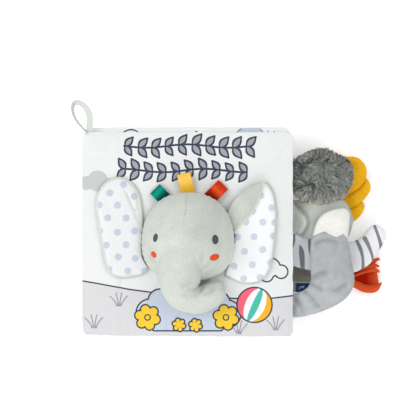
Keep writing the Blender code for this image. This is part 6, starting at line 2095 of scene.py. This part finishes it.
# The hollow is painted dark as shade inside the cup, and painted lighter to orange towards its open
# right end.
light_from, light_to = (level_x(column, FLAME_LEVEL) for column in FLAME_LIGHT_COLUMNS)
inside_light = rescaled(inside_velour, inside_place.outputs["X"], light_from, light_to)
shade = mix_colour(inside_velour, inside_light, FLAME_INSIDE, FLAME_ORANGE)
fill_inputs(inside_velour, inside_shader, {
    "Base Color": mottled(inside_velour, shade, *FLAME_MOTTLE), "Specular IOR Level": 0.05,
})
inside = tail_pillow(
    "flame_inside", FLAME_INSIDE_PIXELS, FLAME_CENTRE_PIXEL, FLAME_PAD, sides=200, relief=inside_relief
)
dress(inside, inside_velour, "flame_tail", "flame_tail")
orange_velour = velour_material("orange_velour", FLAME_ORANGE, *TAIL_VELOUR)
for lip_name, pairs in FLAME_LIPS.items():
    points, _ = paired_limb(pairs, LIP_ROWS, ring_angles(LIP_SIDES), box_share=LIP_BOX)
    lumps = soft_noise(points[..., 0], points[..., 1], LIP_LUMPS["length"], 97)
    points[..., 2] += LIP_LUMPS["height"] * lumps
    dress(tube_piece(lip_name, points), orange_velour, "flame_tail")

# A flat grey-green strap and a small navy label with a sprig of pale leaves are sewn into
# the back cover's fore edge. Both are folded cloth and lie on the table.
STRAP_CLOTH = (0.340, 0.350, 0.290)
LABEL_NAVY = (0.007, 0.060, 0.165)
LABEL_BACK = (0.330, 0.340, 0.320)
LABEL_LEAF = (0.520, 0.600, 0.680)
LABEL_LEAVES = (((299.0, 289.6), 62), ((299.6, 287.4), 20), ((302.0, 288.4), 50))
LABEL_LEAF_LENGTH = 0.0040
LABEL_LEAF_HALF_WIDTH = 0.00055
LABEL_FOLD_COLUMN = 295.8
LABEL_MOTTLE = (600.0, 0.10)
TABLE_LEVEL = 0.002
FLAT_SEAM_LEVEL = 0.00455
FLAT_CELLS = (70, 33)
FLAT_DROP = 0.008
FLAT_CLEARANCE = 0.0002
FLAT_RIPPLE = {"height": 0.0003, "length": 0.012}
FLAT_RIM = {"width": 0.0012, "least": 0.35}
FLAT_ROUGHNESS = 0.7
FLAT_WEAVE = (0.0006, 0.00008, 0.1)
FLAT_PIECES = {
    "strap_cloth": ("side_strap", (266.4, 282.6), 0.0215, 0.0014, STRAP_CLOTH),
    "label_cloth": ("care_label", (283.0, 292.2), 0.0205, 0.0007, LABEL_NAVY),
}


def label_colour(material, piece, x, y):
    """The label's print: navy with a sprig in front of its fold, grey behind it."""
    sprig = np.full(x.shape, -FAR_OFF)
    for pixel, turn in LABEL_LEAVES:
        shape = (math.radians(turn), LABEL_LEAF_LENGTH, LABEL_LEAF_HALF_WIDTH)
        sprig = np.maximum(sprig, leaf_shape(x, y, level_spot(*pixel, TABLE_LEVEL), *shape))
    put_field(piece, "print_sprig", sprig)
    place = add_node(material, "ShaderNodeSeparateXYZ", {"Vector": object_place(material)})
    fold = level_x(LABEL_FOLD_COLUMN, TABLE_LEVEL)
    in_front = maths(material, "GREATER_THAN", place.outputs["X"], fold)
    woven = mix_colour(material, in_front, LABEL_BACK, LABEL_NAVY)
    return mottled(material, print_layer(material, "print_sprig", woven, LABEL_LEAF), *LABEL_MOTTLE)


for flat_name, (flat_node, rows, length, thick, colour) in FLAT_PIECES.items():
    flat_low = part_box(flat_node)[0]
    high_y, low_y = (level_spot(0, row, TABLE_LEVEL)[1] for row in rows)
    across = np.linspace(low_y, high_y, FLAT_CELLS[1])
    along_x = flat_low[0] + length * np.linspace(0, 1, FLAT_CELLS[0])
    x, y = np.meshgrid(along_x, across)
    drop = 1 - smooth_step((x - flat_low[0]) / FLAT_DROP)
    lowest = flat_low[2] + FLAT_CLEARANCE
    ripple = FLAT_RIPPLE["height"] * (1 + soft_noise(x, y, FLAT_RIPPLE["length"], 101)) * (1 - drop)
    to_rim = np.minimum(y - across[0], across[-1] - y)
    rim = np.minimum(1, to_rim / FLAT_RIM["width"] + FLAT_RIM["least"])
    under = lowest + (FLAT_SEAM_LEVEL - lowest - thick) * drop + ripple
    strip = closed_slab(flat_name, x, y, under + thick * rim, under)
    flat_cloth, flat_shader = plain_material(flat_name, colour, FLAT_ROUGHNESS)
    finish_cloth(flat_cloth, flat_shader, colour, *FLAT_WEAVE)
    if flat_node == "care_label":
        fill_inputs(flat_cloth, flat_shader, {"Base Color": label_colour(flat_cloth, strip, x, y)})
    dress(strip, flat_cloth, flat_node, flat_node)
